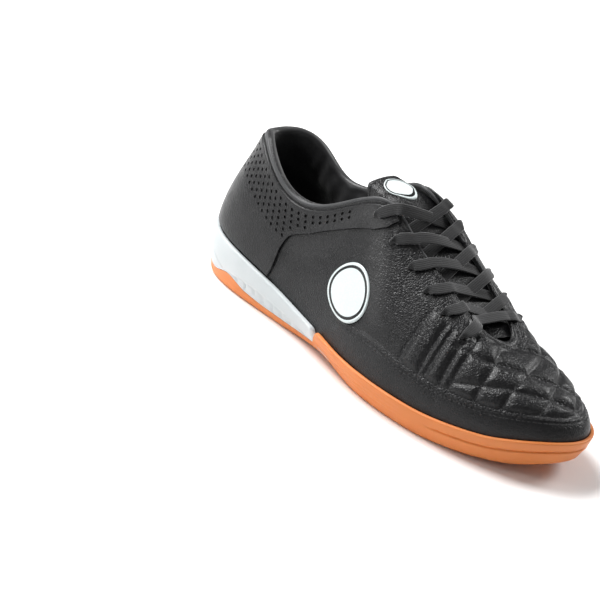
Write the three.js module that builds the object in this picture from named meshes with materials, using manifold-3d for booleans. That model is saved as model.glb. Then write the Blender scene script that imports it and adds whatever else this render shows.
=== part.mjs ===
// Indoor soccer shoe, right foot, size EU 42, standing on its sole.
// Millimetres. +X is toward the toe, +Y toward the inner (medial) side, +Z up.
// The origin is on the floor, in the middle of the shoe's box.
import * as THREE from "three";
import Module from "manifold-3d";

const kernel = await Module();
kernel.setup();
const { Manifold, Mesh } = kernel;

// Sizes

const SHOE = {
  soleLength: 286, // heel edge to toe edge at the bite line
  ballWidth: 103, // widest sole width, at the ball
  collarHeight: 92, // floor to the collar edge at the back of the heel
  instepHeight: 98, // floor to the throat edge beside the top lace holes
};

const UPPER = {
  wall: 2.4, // leather and lining together
  collarPad: 4.2, // foam added inside the collar
  footInset: 3.4, // sole edge to the upper, at the upper's lower edge
  sink: 5, // how far the upper goes down inside the sole's lip
  seamStep: 0.8, // height of the mudguard's raised edge
};

const CLEAR = 0.3; // gap between pieces that touch
const CURVE_CLEAR = 0.4; // the same where two curved skins lie on each other

const SOLE = {
  gumFloor: 4.2, // rubber under the foam
  gumRim: 5.2, // rubber height around the heel
  gumWall: 5.2, // rubber thickness round the forefoot, below the lip
  wellTaper: 0.4, // the well under the foam is this much smaller at its floor
  edgeRound: 2.2, // rounding where the side meets the tread
  ribDepth: 0.9, // grooves between the foam's side ribs
  ribWidth: 1.6,
};

const INSOLE = { thickness: 3.6, clear: 0.8 };

const TREAD = {
  depth: 1.6, // recess of the coloured inserts
  proud: 0.35, // how far an insert stays above the floor
  channelWidth: 6.5, // flex channel across the forefoot
  channelDepth: 1.2,
  pivotRadius: 14.5,
  toeBarWidth: 4.2,
};

const EYELET_RADIUS = 2.1;

const LACE = {
  width: 7,
  thickness: 1.3,
  arch: 0.62, // how strongly a crossing bends over the throat
  lift: 1.1, // over the leather
  edgeLift: 0.6, // extra lift at the throat's edge
  barRise: 2, // of the straight bar over the last crossing
  tuckLift: 0.7, // over the tongue, under the leather
  over: 0.9, // extra rise of the outer strap where it passes over the inner one
};

const TONGUE = {
  thickness: 3.4,
  underlap: 12, // how far it lies under each side of the throat
  arch: 0.5, // how strongly it bends over the throat
  freeLength: 19, // what stands past the throat corner
  lean: 0.85, // how far the free end leans to the heel
  topSpread: -2, // each side at the free end
  topRound: 8, // rounding of the free end's corners
  clear: 0.9, // under the throat's sides
};

const PANEL = { lift: 0.6, thickness: 0.9 };

const PATCH = {
  radius: 17.5,
  at: 4.82, // station of the side patch
  share: 0.425, // its share of the side's curve
  thickness: 0.8,
  tongueMiddle: 0.54,
  tongueWide: 0.15,
  tongueFrom: 0.765,
  tongueTo: 0.875,
};

// The last: one row for each station round the shoe
// at, side: sole edge, as shares of sole length and ball width.
// topAt, topSide: the collar or throat edge, in the same shares.
// collar, instep: height of that edge, as shares of the two heights.
// bulge, rise, pull, drop: handles of the side's curve between the two edges.

const LAST_COLUMNS = [
  "at", "side", "topAt", "topSide", "collar", "instep", "bulge", "rise", "pull", "drop",
];
const LAST_ROWS = [
  [0.000, 0.000, 0.052, 0.000, 1.000, 0.000, 0.050, 0.36, 0.30, 0.30], // heel
  [0.040, -0.255, 0.078, -0.130, 1.010, 0.000, 0.042, 0.34, 0.24, 0.30],
  [0.135, -0.360, 0.140, -0.228, 0.925, 0.000, 0.034, 0.32, 0.18, 0.35],
  [0.250, -0.385, 0.218, -0.258, 0.820, 0.000, 0.028, 0.34, 0.15, 0.35],
  [0.375, -0.420, 0.312, -0.228, 0.885, 0.000, 0.026, 0.34, 0.20, 0.35],
  [0.500, -0.495, 0.425, -0.165, 0.000, 1.030, 0.028, 0.34, 0.32, 0.30],
  [0.620, -0.530, 0.525, -0.145, 0.000, 0.895, 0.030, 0.34, 0.42, 0.22],
  [0.745, -0.495, 0.603, -0.130, 0.000, 0.785, 0.030, 0.34, 0.50, 0.18],
  [0.865, -0.390, 0.666, -0.112, 0.000, 0.690, 0.028, 0.42, 0.56, 0.20],
  [0.960, -0.205, 0.724, -0.082, 0.000, 0.605, 0.026, 0.50, 0.61, 0.25],
  [1.000, 0.040, 0.762, 0.020, 0.000, 0.564, 0.024, 0.55, 0.64, 0.26], // toe
  [0.965, 0.245, 0.742, 0.125, 0.000, 0.596, 0.024, 0.48, 0.58, 0.27],
  [0.880, 0.382, 0.680, 0.160, 0.000, 0.684, 0.026, 0.42, 0.46, 0.27],
  [0.775, 0.458, 0.612, 0.160, 0.000, 0.820, 0.026, 0.36, 0.43, 0.21],
  [0.660, 0.460, 0.532, 0.135, 0.000, 0.965, 0.024, 0.34, 0.50, 0.12],
  [0.540, 0.356, 0.440, 0.105, 0.000, 1.100, 0.018, 0.34, 0.62, 0.08],
  [0.410, 0.286, 0.330, 0.256, 0.930, 0.000, 0.014, 0.34, 0.26, 0.30],
  [0.275, 0.300, 0.218, 0.274, 0.815, 0.000, 0.016, 0.34, 0.15, 0.35],
  [0.145, 0.345, 0.136, 0.254, 0.945, 0.000, 0.024, 0.34, 0.18, 0.35],
  [0.040, 0.255, 0.078, 0.150, 1.015, 0.000, 0.036, 0.34, 0.24, 0.30],
];
const STATIONS = LAST_ROWS.length;
const THROAT_OUTER = 5; // station of the throat corner, lateral side
const THROAT_BASE = 10;
const THROAT_INNER = 15; // station of the throat corner, medial side

// Height of the bite line, the ground line and the side's inward slope, by
// share of the sole length. Heights and slopes are millimetres.
const BITE_LINE = [
  [0, 31], [0.12, 28.5], [0.25, 24], [0.4, 17.5], [0.55, 15.5], [0.7, 15.5], [0.85, 19], [1, 27],
];
const GROUND_LINE = [
  [0, 2.6], [0.06, 0.3], [0.1, 0], [0.3, 0], [0.43, 1.8], [0.56, 0], [0.72, 0], [0.8, 1.4], [0.9, 5], [1, 11],
];
const SIDE_TUCK = [
  [0, 3.5], [0.12, 3.5], [0.25, 5], [0.42, 8], [0.58, 4.5], [0.75, 3], [0.9, 3.5], [1, 5],
];
// Rubber rim round the heel: extra height of its wave, lateral and medial.
const RIM_WAVE = [[0, 0], [0.07, 0.4], [0.13, 5], [0.19, 1.2], [0.26, 0], [1, 0]];
const FOAM_END = 0.4; // share where the rubber wall takes over from the foam
const FOAM_END_RUN = 0.022;

// Height of the mudguard seam, as a share of the side's curve, by share of
// the way from heel to toe, and how far its step has grown there.
const MUDGUARD_SEAM = [
  [0, 0.26], [0.4, 0.26], [0.5, 0.26], [0.6, 0.29], [0.7, 0.295], [0.85, 0.295], [1, 0.34],
];
const MUDGUARD_GROW = [[0, 0], [0.42, 0], [0.5, 1], [1, 1]];

// Lower edge of the heel panel, by station from the heel: it drops to the
// sole behind the quarter.
const PANEL_EDGE = [
  [0, 0.04], [2.86, 0.04], [3.0, 0.22], [3.08, 0.46], [3.25, 0.63], [3.6, 0.72], [4.12, 0.785],
  [4.9, 0.79], [5.2, 0.84], [5.46, 0.93],
];
const PANEL_END = 5.46;

// Lace holes from the collar down: station and share of the side's curve, outer and inner row.
const EYELETS = [
  { outer: [4.95, 0.895], inner: [14.75, 0.85] },
  { outer: [5.43, 0.825], inner: [14.36, 0.83] },
  { outer: [6.0, 0.82], inner: [13.89, 0.82] },
  { outer: [6.53, 0.79], inner: [13.4, 0.79] },
  { outer: [7.06, 0.755], inner: [12.88, 0.76] },
  { outer: [7.59, 0.7], inner: [12.45, 0.71] },
];

const AROUND = 80; // facets round the shoe

// Curves

// Hermite curve through rows of [x, y], level where the table turns.
function tableCurve(rows) {
  const slopes = rows.map((row, i) => {
    if (i === 0 || i === rows.length - 1) return 0;
    const before = (row[1] - rows[i - 1][1]) / (row[0] - rows[i - 1][0]);
    const after = (rows[i + 1][1] - row[1]) / (rows[i + 1][0] - row[0]);
    return before * after <= 0 ? 0 : (2 * before * after) / (before + after);
  });
  return (x) => {
    if (x <= rows[0][0]) return rows[0][1];
    if (x >= rows[rows.length - 1][0]) return rows[rows.length - 1][1];
    let i = 0;
    while (x > rows[i + 1][0]) i += 1;
    const run = rows[i + 1][0] - rows[i][0];
    const t = (x - rows[i][0]) / run;
    return hermite(rows[i][1], rows[i + 1][1], slopes[i] * run, slopes[i + 1] * run, t);
  };
}

function hermite(a, b, slopeA, slopeB, t) {
  const t2 = t * t;
  const t3 = t2 * t;
  return (
    (2 * t3 - 3 * t2 + 1) * a + (t3 - 2 * t2 + t) * slopeA +
    (3 * t2 - 2 * t3) * b + (t3 - t2) * slopeB
  );
}

// Slopes of a smooth closed curve through evenly spaced values.
function loopSlopes(values) {
  const count = values.length;
  const slopes = values.map((_, i) => (values[(i + 1) % count] - values[(i + count - 1) % count]) / 2);
  const sweeps = 60;
  for (let sweep = 0; sweep < sweeps; sweep += 1) {
    for (let i = 0; i < count; i += 1) {
      const before = (i + count - 1) % count;
      const after = (i + 1) % count;
      slopes[i] = (3 * (values[after] - values[before]) - slopes[before] - slopes[after]) / 4;
    }
  }
  return slopes;
}

const lastValues = {};
const lastSlopes = {};
LAST_COLUMNS.forEach((name, c) => {
  lastValues[name] = LAST_ROWS.map((row) => row[c]);
  lastSlopes[name] = loopSlopes(lastValues[name]);
});

function lastAt(name, u) {
  const wrapped = ((u % STATIONS) + STATIONS) % STATIONS;
  const i = Math.floor(wrapped) % STATIONS;
  const j = (i + 1) % STATIONS;
  const values = lastValues[name];
  const slopes = lastSlopes[name];
  return hermite(values[i], values[j], slopes[i], slopes[j], wrapped - Math.floor(wrapped));
}

const biteLine = tableCurve(BITE_LINE);
const groundLine = tableCurve(GROUND_LINE);
const sideTuck = tableCurve(SIDE_TUCK);
const rimWave = tableCurve(RIM_WAVE);
const mudguardSeam = tableCurve(MUDGUARD_SEAM);
const mudguardGrow = tableCurve(MUDGUARD_GROW);
const panelEdge = tableCurve(PANEL_EDGE);

const clamp = (x, low, high) => Math.min(high, Math.max(low, x));
const smooth = (x, low, high) => {
  const t = clamp((x - low) / (high - low), 0, 1);
  return t * t * (3 - 2 * t);
};
const mix = (a, b, t) => a + (b - a) * t;
const range = (count) => Array.from({ length: count }, (_, i) => i);

// The sole's plan

// The shoe's middle line in Y lies halfway between its widest points.
const sideShares = range(AROUND * 4).map((i) => lastAt("side", (i / (AROUND * 4)) * STATIONS));
const sideMiddle = (Math.max(...sideShares) + Math.min(...sideShares)) / 2;

const xOf = (share) => (share - 0.5) * SHOE.soleLength;
const yOf = (side) => (side - sideMiddle) * SHOE.ballWidth;
const shareOf = (x) => clamp(x / SHOE.soleLength + 0.5, 0, 1);

function edgePoint(u) {
  return new THREE.Vector2(xOf(lastAt("at", u)), yOf(lastAt("side", u)));
}

function edgeNormal(u) {
  const step = 0.02;
  const along = edgePoint(u + step).sub(edgePoint(u - step)).normalize();
  return new THREE.Vector2(along.y, -along.x);
}

// A point of the sole's plan, inset from its edge.
function insetPoint(u, inset) {
  return edgePoint(u).addScaledVector(edgeNormal(u), -inset);
}

const biteAt = (u) => biteLine(clamp(lastAt("at", u), 0, 1));
const groundAt = (x) => groundLine(shareOf(x));

// The upper's outer surface

function curveHandles(u) {
  const outward = edgeNormal(u);
  const foot = insetPoint(u, UPPER.footInset);
  const footZ = biteAt(u) - UPPER.sink;
  const top = new THREE.Vector2(xOf(lastAt("topAt", u)), yOf(lastAt("topSide", u)));
  const topZ = lastAt("collar", u) * SHOE.collarHeight + lastAt("instep", u) * SHOE.instepHeight;
  const tall = topZ - footZ;
  const belly = foot.clone().addScaledVector(outward, lastAt("bulge", u) * SHOE.ballWidth);
  const shoulder = top.clone().lerp(foot, lastAt("pull", u));
  return [
    new THREE.Vector3(foot.x, foot.y, footZ),
    new THREE.Vector3(belly.x, belly.y, footZ + tall * lastAt("rise", u)),
    new THREE.Vector3(shoulder.x, shoulder.y, topZ - tall * lastAt("drop", u)),
    new THREE.Vector3(top.x, top.y, topZ),
  ];
}

function skinPoint(u, v) {
  return new THREE.CubicBezierCurve3(...curveHandles(u)).getPoint(v);
}

// Unit directions of the surface: along the loop, up the side, and outward.
function skinFrame(u, v) {
  const du = 0.02;
  const low = Math.max(0, v - 0.01);
  const high = Math.min(1, v + 0.01);
  const along = skinPoint(u + du, v).sub(skinPoint(u - du, v)).normalize();
  const up = skinPoint(u, high).sub(skinPoint(u, low)).normalize();
  const out = along.clone().cross(up).normalize();
  return { along, up, out };
}

function liftedPoint(u, v, lift) {
  return skinPoint(u, v).addScaledVector(skinFrame(u, v).out, lift);
}

// Where the side's curve passes a height.
function shareAtHeight(u, z) {
  let low = 0;
  let high = 0.5;
  for (let i = 0; i < 24; i += 1) {
    const middle = (low + high) / 2;
    if (skinPoint(u, middle).z < z) low = middle;
    else high = middle;
  }
  return (low + high) / 2;
}

// The mudguard stands proud of the upper below its seam.
const seamAt = (u) => mudguardSeam(clamp(lastAt("at", u), 0, 1));
const stepAt = (u) => UPPER.seamStep * mudguardGrow(clamp(lastAt("at", u), 0, 1));
const guardLift = (u, v) => stepAt(u) * smooth(v / seamAt(u), 0, 0.22);

function wallAt(u, v) {
  const back = 1 - smooth(Math.min(u, STATIONS - u), THROAT_OUTER - 1.9, THROAT_OUTER - 0.6);
  const high = smooth(v, 0.5, 0.82) * (1 - 0.3 * smooth(v, 0.85, 1));
  return UPPER.wall + UPPER.collarPad * back * high;
}

// Solids from points

// One closed mesh from shared points and triangles.
class Skin {
  constructor() {
    this.points = [];
    this.faces = [];
  }
  add(x, y, z) {
    this.points.push(x, y, z);
    return this.points.length / 3 - 1;
  }
  addLoop(points) {
    return points.map((p) => this.add(p.x, p.y, p.z));
  }
  // Quads between two loops of the same length, each split on its shorter diagonal.
  bridge(low, high, closed = true) {
    const count = closed ? low.length : low.length - 1;
    for (let i = 0; i < count; i += 1) {
      const j = (i + 1) % low.length;
      this.quad(low[i], low[j], high[j], high[i]);
    }
  }
  quad(a, b, c, d) {
    if (this.distance(a, c) <= this.distance(b, d)) this.faces.push(a, b, c, a, c, d);
    else this.faces.push(a, b, d, b, c, d);
  }
  distance(a, b) {
    const p = this.points;
    return Math.hypot(p[3 * a] - p[3 * b], p[3 * a + 1] - p[3 * b + 1], p[3 * a + 2] - p[3 * b + 2]);
  }
  // A cap across a loop that runs once round the shoe from heel to toe and
  // back: rungs join its two sides, with rows of points on a height function.
  ladder(loop, rows, heightAt, facesUp) {
    const half = loop.length / 2;
    const rungs = [];
    for (let i = 1; i < half; i += 1) {
      const a = loop[i];
      const b = loop[loop.length - i];
      const rung = [a];
      for (let k = 1; k < rows; k += 1) {
        const x = mix(this.points[3 * a], this.points[3 * b], k / rows);
        const y = mix(this.points[3 * a + 1], this.points[3 * b + 1], k / rows);
        const flat = mix(this.points[3 * a + 2], this.points[3 * b + 2], k / rows);
        rung.push(this.add(x, y, heightAt ? heightAt(x, y, flat) : flat));
      }
      rung.push(b);
      rungs.push(rung);
    }
    const face = (a, b, c) => this.faces.push(...(facesUp ? [a, b, c] : [a, c, b]));
    const first = rungs[0];
    const last = rungs[rungs.length - 1];
    for (let k = 0; k < rows; k += 1) {
      face(loop[0], first[k], first[k + 1]);
      face(last[k], loop[half], last[k + 1]);
    }
    for (let i = 0; i + 1 < rungs.length; i += 1) {
      for (let k = 0; k < rows; k += 1) {
        face(rungs[i][k], rungs[i + 1][k], rungs[i + 1][k + 1]);
        face(rungs[i][k], rungs[i + 1][k + 1], rungs[i][k + 1]);
      }
    }
  }
  solid() {
    const mesh = new Mesh({
      numProp: 3,
      vertProperties: new Float32Array(this.points),
      triVerts: new Uint32Array(this.faces),
    });
    return new Manifold(mesh);
  }
}

// A sheet of points, rows by columns, given thickness between two lifts.
function sheetSolid(columns, rows, pointAt) {
  const skin = new Skin();
  const side = (level) => range(rows + 1).map((r) => skin.addLoop(
    range(columns + 1).map((c) => pointAt(c / columns, r / rows, level)),
  ));
  const under = side(0);
  const over = side(1);
  for (let r = 0; r < rows; r += 1) {
    skin.bridge(over[r], over[r + 1], false);
    skin.bridge(under[r + 1], under[r], false);
  }
  skin.bridge(under[0], over[0], false);
  skin.bridge(over[rows], under[rows], false);
  for (let r = 0; r < rows; r += 1) {
    skin.quad(under[r + 1][0], under[r][0], over[r][0], over[r + 1][0]);
    skin.quad(under[r][columns], under[r + 1][columns], over[r + 1][columns], over[r][columns]);
  }
  return skin.solid();
}

// A closed outline in plan, given a lower and an upper height function.
function plateSolid(outline, lowAt, highAt) {
  const skin = new Skin();
  const low = skin.addLoop(outline.map((p) => new THREE.Vector3(p.x, p.y, lowAt(p.x, p.y))));
  const high = skin.addLoop(outline.map((p) => new THREE.Vector3(p.x, p.y, highAt(p.x, p.y))));
  skin.bridge(low, high);
  THREE.ShapeUtils.triangulateShape(outline, []).forEach(([a, b, c]) => {
    skin.faces.push(high[a], high[b], high[c], low[a], low[c], low[b]);
  });
  return skin.solid();
}

// Upper

const aroundStations = range(AROUND).map((i) => (i / AROUND) * STATIONS);

function upperSolid() {
  const skin = new Skin();
  const below = [0, 0.22, 0.48, 0.74, 1];
  const above = [0, 0.14, 0.3, 0.46, 0.62, 0.77, 0.9, 1];
  const inside = [0.94, 0.78, 0.58, 0.36, 0.16, 0];
  const seamWidth = 0.012;
  const loops = [];
  below.forEach((t) => loops.push((u) => liftedPoint(u, t * seamAt(u), guardLift(u, t * seamAt(u)))));
  above.forEach((t) => loops.push((u) => liftedPoint(u, mix(seamAt(u) + seamWidth, 1, t), 0)));
  [Math.PI / 3, (2 * Math.PI) / 3].forEach((turn) => loops.push((u) => {
    const { up, out } = skinFrame(u, 1);
    const half = wallAt(u, 1) / 2;
    return skinPoint(u, 1)
      .addScaledVector(out, -half + half * Math.cos(turn))
      .addScaledVector(up, half * Math.sin(turn));
  }));
  inside.forEach((v) => loops.push((u) => liftedPoint(u, v, -wallAt(u, v))));
  const rings = loops.map((pointAt) => skin.addLoop(aroundStations.map(pointAt)));
  rings.forEach((ring, i) => skin.bridge(ring, rings[(i + 1) % rings.length]));
  return skin.solid();
}

// Lace holes

// The share that lies so far below the upper's edge.
function depthFromEdge(u, length) {
  const step = 0.005;
  let v = 1;
  let gone = 0;
  while (gone < length) {
    gone += skinPoint(u, v).distanceTo(skinPoint(u, v - step));
    v -= step;
  }
  return v;
}

const eyeletRow = (side) => EYELETS.map((pair, row) => ({ row, u: pair[side][0], v: pair[side][1] }));
const outerEyelets = eyeletRow("outer");
const innerEyelets = eyeletRow("inner");

function punch({ u, v }) {
  const sides = 8;
  const { along, up, out } = skinFrame(u, v);
  const centre = skinPoint(u, v);
  const reach = UPPER.wall * 2.5;
  const skin = new Skin();
  const ring = (lift) => skin.addLoop(range(sides).map((i) => {
    const turn = (2 * Math.PI * i) / sides;
    return centre.clone()
      .addScaledVector(along, EYELET_RADIUS * Math.cos(turn))
      .addScaledVector(up, EYELET_RADIUS * Math.sin(turn))
      .addScaledVector(out, lift);
  }));
  const low = ring(-reach);
  const high = ring(reach);
  skin.bridge(low, high);
  for (let i = 1; i + 1 < sides; i += 1) {
    skin.faces.push(high[0], high[i], high[i + 1], low[0], low[i + 1], low[i]);
  }
  return skin.solid();
}

const punches = [...outerEyelets, ...innerEyelets].map(punch);

// Sole

// The whole sole under the upper: tread, tapered side, lip, and a floor.
const floorUnderFoot = (u) => biteAt(u) - UPPER.sink - CLEAR;

function soleBlock() {
  const skin = new Skin();
  const loop = (pointAt) => skin.addLoop(aroundStations.map(pointAt));
  const tuckAt = (u) => sideTuck(lastAt("at", u));
  const sidePoint = (u, inset, height) => {
    const p = insetPoint(u, inset);
    return new THREE.Vector3(p.x, p.y, height(p));
  };
  const treadLoop = loop((u) => sidePoint(u, tuckAt(u) + SOLE.edgeRound, (p) => groundAt(p.x)));
  const edgeLoop = loop((u) => sidePoint(u, tuckAt(u), (p) => groundAt(p.x) + SOLE.edgeRound * 0.7));
  const midLoop = loop((u) => {
    const high = biteAt(u);
    return sidePoint(u, tuckAt(u) * 0.35 - 0.4, (p) => mix(groundAt(p.x), high, 0.5));
  });
  const crestLoop = loop((u) => sidePoint(u, 0, () => biteAt(u) - 1.2));
  const lipLoop = loop((u) => sidePoint(u, 0.7, () => biteAt(u)));
  const lipInside = (u, depth) => {
    const z = biteAt(u) - depth;
    const v = shareAtHeight(u, z);
    const p = liftedPoint(u, v, guardLift(u, v) + CURVE_CLEAR);
    return new THREE.Vector3(p.x, p.y, z);
  };
  const innerLip = loop((u) => lipInside(u, 0));
  const midLip = loop((u) => lipInside(u, UPPER.sink / 2));
  const footLoop = loop((u) => sidePoint(u, UPPER.footInset - CURVE_CLEAR, () => floorUnderFoot(u)));
  skin.ladder(treadLoop, 4, (x) => groundAt(x), false);
  [treadLoop, edgeLoop, midLoop, crestLoop, lipLoop, innerLip, midLip, footLoop].forEach((low, i, all) => {
    if (i + 1 < all.length) skin.bridge(low, all[i + 1]);
  });
  skin.ladder(footLoop, 1, null, true);
  return skin.solid();
}

// The space that the rubber takes: a tray with a high rim round the forefoot.
// Grown by a gap, it cuts the foam to fit.
function rubberSpace(gap) {
  const skin = new Skin();
  const beyond = 12; // past the sole on every side
  const rimAt = (u) => {
    const share = clamp(lastAt("at", u), 0, 1);
    const heel = groundLine(share) + SOLE.gumRim + rimWave(share);
    const front = biteAt(u) + beyond / 2;
    return mix(heel, front, smooth(share, FOAM_END, FOAM_END + FOAM_END_RUN)) + gap;
  };
  const loop = (inset, heightAt) => skin.addLoop(aroundStations.map((u) => {
    const p = insetPoint(u, inset);
    return new THREE.Vector3(p.x, p.y, heightAt(u, p));
  }));
  const deep = loop(-beyond, () => -beyond);
  const outer = loop(-beyond, rimAt);
  const inner = loop(SOLE.gumWall + gap, rimAt);
  const wellInset = SOLE.gumWall + gap + SOLE.wellTaper;
  const well = loop(wellInset, (u, p) => groundAt(p.x) + SOLE.gumFloor + gap);
  skin.ladder(deep, 1, null, false);
  skin.bridge(deep, outer);
  skin.bridge(outer, inner);
  skin.bridge(inner, well);
  skin.ladder(well, 2, (x) => groundAt(x) + SOLE.gumFloor + gap, true);
  return skin.solid();
}

// Grooves between the side ribs of the foam, lateral and medial.
const RIB_STARTS = { lateral: 2.02, medial: STATIONS - 2.02 };
const RIB_PITCH = 9.6;
const RIB_COUNT = 8;

function ribGrooves() {
  const grooves = [];
  Object.entries(RIB_STARTS).forEach(([side, start]) => {
    const direction = side === "lateral" ? 1 : -1;
    let u = start;
    for (let i = 0; i < RIB_COUNT; i += 1) {
      let gone = 0;
      while (gone < RIB_PITCH) {
        gone += edgePoint(u + direction * 0.01).distanceTo(edgePoint(u));
        u += direction * 0.01;
      }
      grooves.push(ribGroove(u));
    }
  });
  return grooves;
}

function ribGroove(u) {
  const outward = edgeNormal(u);
  const along = new THREE.Vector2(-outward.y, outward.x);
  const low = groundAt(edgePoint(u).x) + SOLE.gumRim - 1;
  const high = mix(low, biteAt(u), 0.52);
  const tuck = sideTuck(lastAt("at", u));
  const skin = new Skin();
  const ring = (z, tuckShare) => {
    const base = insetPoint(u, tuck * tuckShare - 0.4);
    const tip = base.clone().addScaledVector(outward, -SOLE.ribDepth);
    const left = base.clone().addScaledVector(outward, 3).addScaledVector(along, -SOLE.ribWidth * 2);
    const right = base.clone().addScaledVector(outward, 3).addScaledVector(along, SOLE.ribWidth * 2);
    return skin.addLoop([tip, left, right].map((p) => new THREE.Vector3(p.x, p.y, z)));
  };
  const rise = (z) => clamp((z - groundAt(edgePoint(u).x)) / (biteAt(u) - groundAt(edgePoint(u).x)), 0, 1);
  const bottom = ring(low, 1 - rise(low));
  const top = ring(high, 0.55 * (1 - rise(high)));
  skin.faces.push(bottom[0], bottom[2], bottom[1], top[0], top[1], top[2]);
  skin.bridge(bottom, top);
  return skin.solid();
}

// Tread inserts

// Plan shapes in shares of the sole length and ball width, toe to +X.
const planPoint = (share, side) => new THREE.Vector2(xOf(share), yOf(side));

function discShape(centre, radius, sides) {
  return range(sides).map((i) => {
    const turn = (2 * Math.PI * i) / sides;
    return new THREE.Vector2(centre.x + radius * Math.cos(turn), centre.y + radius * Math.sin(turn));
  });
}

// A stadium between two points.
function barShape(from, to, width) {
  const along = to.clone().sub(from).normalize();
  const start = Math.atan2(along.y, along.x);
  const steps = 4;
  const end = (centre, turn) => range(steps + 1).map((i) => {
    const angle = turn + (Math.PI * i) / steps;
    return new THREE.Vector2(
      centre.x + (width / 2) * Math.cos(angle),
      centre.y + (width / 2) * Math.sin(angle),
    );
  });
  return [...end(to, start - Math.PI / 2), ...end(from, start + Math.PI / 2)];
}

// Moves each side of a counter-clockwise outline inward.
function shrinkShape(outline, gap) {
  const count = outline.length;
  return outline.map((p, i) => {
    const before = p.clone().sub(outline[(i + count - 1) % count]).normalize();
    const after = outline[(i + 1) % count].clone().sub(p).normalize();
    const inward = new THREE.Vector2(-before.y - after.y, before.x + after.x);
    const reach = inward.length() / 2;
    return p.clone().addScaledVector(inward.normalize(), gap / Math.max(reach, 0.5));
  });
}

const PIVOT_AT = planPoint(0.7, 0.19);
const FLEX_SHARE = 0.79;
const INSERTS = {
  pivot_disc: discShape(PIVOT_AT, TREAD.pivotRadius, 28),
  flex_bar: barShape(planPoint(FLEX_SHARE - 0.012, -0.2), planPoint(FLEX_SHARE, 0.08), TREAD.channelWidth - 1.6),
  arch_wedge: [
    planPoint(0.36, 0.02), planPoint(0.47, -0.03), planPoint(0.62, -0.02),
    planPoint(0.6, 0.09), planPoint(0.53, 0.14), planPoint(0.45, 0.12),
  ],
  side_wedge: [
    planPoint(0.43, -0.3), planPoint(0.49, -0.35), planPoint(0.56, -0.37),
    planPoint(0.58, -0.3), planPoint(0.54, -0.22), planPoint(0.48, -0.22),
  ],
};
const WINDOWS = [[0.865, -0.2], [0.895, -0.1], [0.915, 0.0], [0.925, 0.1]];
WINDOWS.forEach(([share, side], i) => {
  const lean = 0.012;
  INSERTS[`toe_window_${i + 1}`] = barShape(
    planPoint(share - lean - 0.016, side - 0.02),
    planPoint(share - lean + 0.016, side + 0.02),
    TREAD.toeBarWidth,
  );
});

const BELOW_FLOOR = -6; // where the cutting solids start

function recess(outline) {
  return plateSolid(outline, () => BELOW_FLOOR, (x) => groundAt(x) + TREAD.depth);
}

function insertSolid(outline) {
  const shape = shrinkShape(outline, CLEAR);
  return plateSolid(shape, (x) => groundAt(x) + TREAD.proud, (x) => groundAt(x) + TREAD.depth - CLEAR);
}

function flexChannel() {
  const width = TREAD.channelWidth;
  const across = 0.62;
  const from = planPoint(FLEX_SHARE - 0.03, -across);
  const to = planPoint(FLEX_SHARE + 0.022, across);
  const side = to.clone().sub(from).normalize();
  const ahead = new THREE.Vector2(side.y, -side.x).multiplyScalar(width / 2);
  const outline = [from.clone().add(ahead), to.clone().add(ahead), to.clone().sub(ahead), from.clone().sub(ahead)];
  const shape = THREE.ShapeUtils.area(outline) > 0 ? outline : outline.reverse();
  return plateSolid(shape, () => BELOW_FLOOR, (x) => groundAt(x) + TREAD.channelDepth);
}

// Insole

function insoleSolid() {
  const skin = new Skin();
  const inset = UPPER.footInset + UPPER.wall + INSOLE.clear;
  const loop = (extra, rise) => skin.addLoop(aroundStations.filter((_, i) => i % 2 === 0).map((u) => {
    const p = insetPoint(u, inset + extra);
    return new THREE.Vector3(p.x, p.y, floorUnderFoot(u) + rise);
  }));
  const low = loop(0, CLEAR);
  const high = loop(0.6, CLEAR + INSOLE.thickness);
  skin.ladder(low, 1, null, false);
  skin.bridge(low, high);
  skin.ladder(high, 2, (x, y, z) => z - 0.6, true);
  return skin.solid();
}

// Tongue

// Stations of the throat's two edges at a share t of the way from its
// base (0) to its corners (1).
function throatStations(t) {
  return { outer: mix(THROAT_BASE, THROAT_OUTER, t), inner: mix(THROAT_BASE, THROAT_INNER, t) };
}

// A curve over the throat between two points near its edges, square to the
// throat, as strongly bent as the arch says.
function overThroat(a, b, from, to, arch) {
  const start = skinFrame(from, 1);
  const end = skinFrame(to, 1);
  const chord = b.clone().sub(a);
  const ahead = chord.clone().cross(start.out.clone().add(end.out)).normalize();
  const span = chord.length() * arch;
  const slopeOf = (up) => up.clone().addScaledVector(ahead, -up.dot(ahead)).normalize();
  const slopeA = slopeOf(start.up).multiplyScalar(span);
  const slopeB = slopeOf(end.up).multiplyScalar(-span);
  return (s) => new THREE.Vector3(
    hermite(a.x, b.x, slopeA.x, slopeB.x, s),
    hermite(a.y, b.y, slopeA.y, slopeB.y, s),
    hermite(a.z, b.z, slopeA.z, slopeB.z, s),
  );
}

// The tongue's upper face at one station pair: under one side, over the gap, under the other.
function tongueArch(t, w, lift) {
  const { outer, inner } = throatStations(t);
  const under = 0.22; // share of the width that lies under each side
  const drop = UPPER.wall + TONGUE.clear;
  const sidePoint = (u, share) => {
    const v = mix(depthFromEdge(u, TONGUE.underlap), 1, share);
    return liftedPoint(u, v, -drop - lift);
  };
  if (w <= under) return sidePoint(outer, w / under);
  if (w >= 1 - under) return sidePoint(inner, (1 - w) / under);
  const curve = overThroat(sidePoint(outer, 1), sidePoint(inner, 1), outer, inner, TONGUE.arch);
  return curve((w - under) / (1 - 2 * under));
}

const TONGUE_ROOT = 0.16; // share of the throat where the tongue starts
const TONGUE_FREE = 0.3; // the free end, as more shares of the throat
const TONGUE_SECTIONS = 12;

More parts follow.
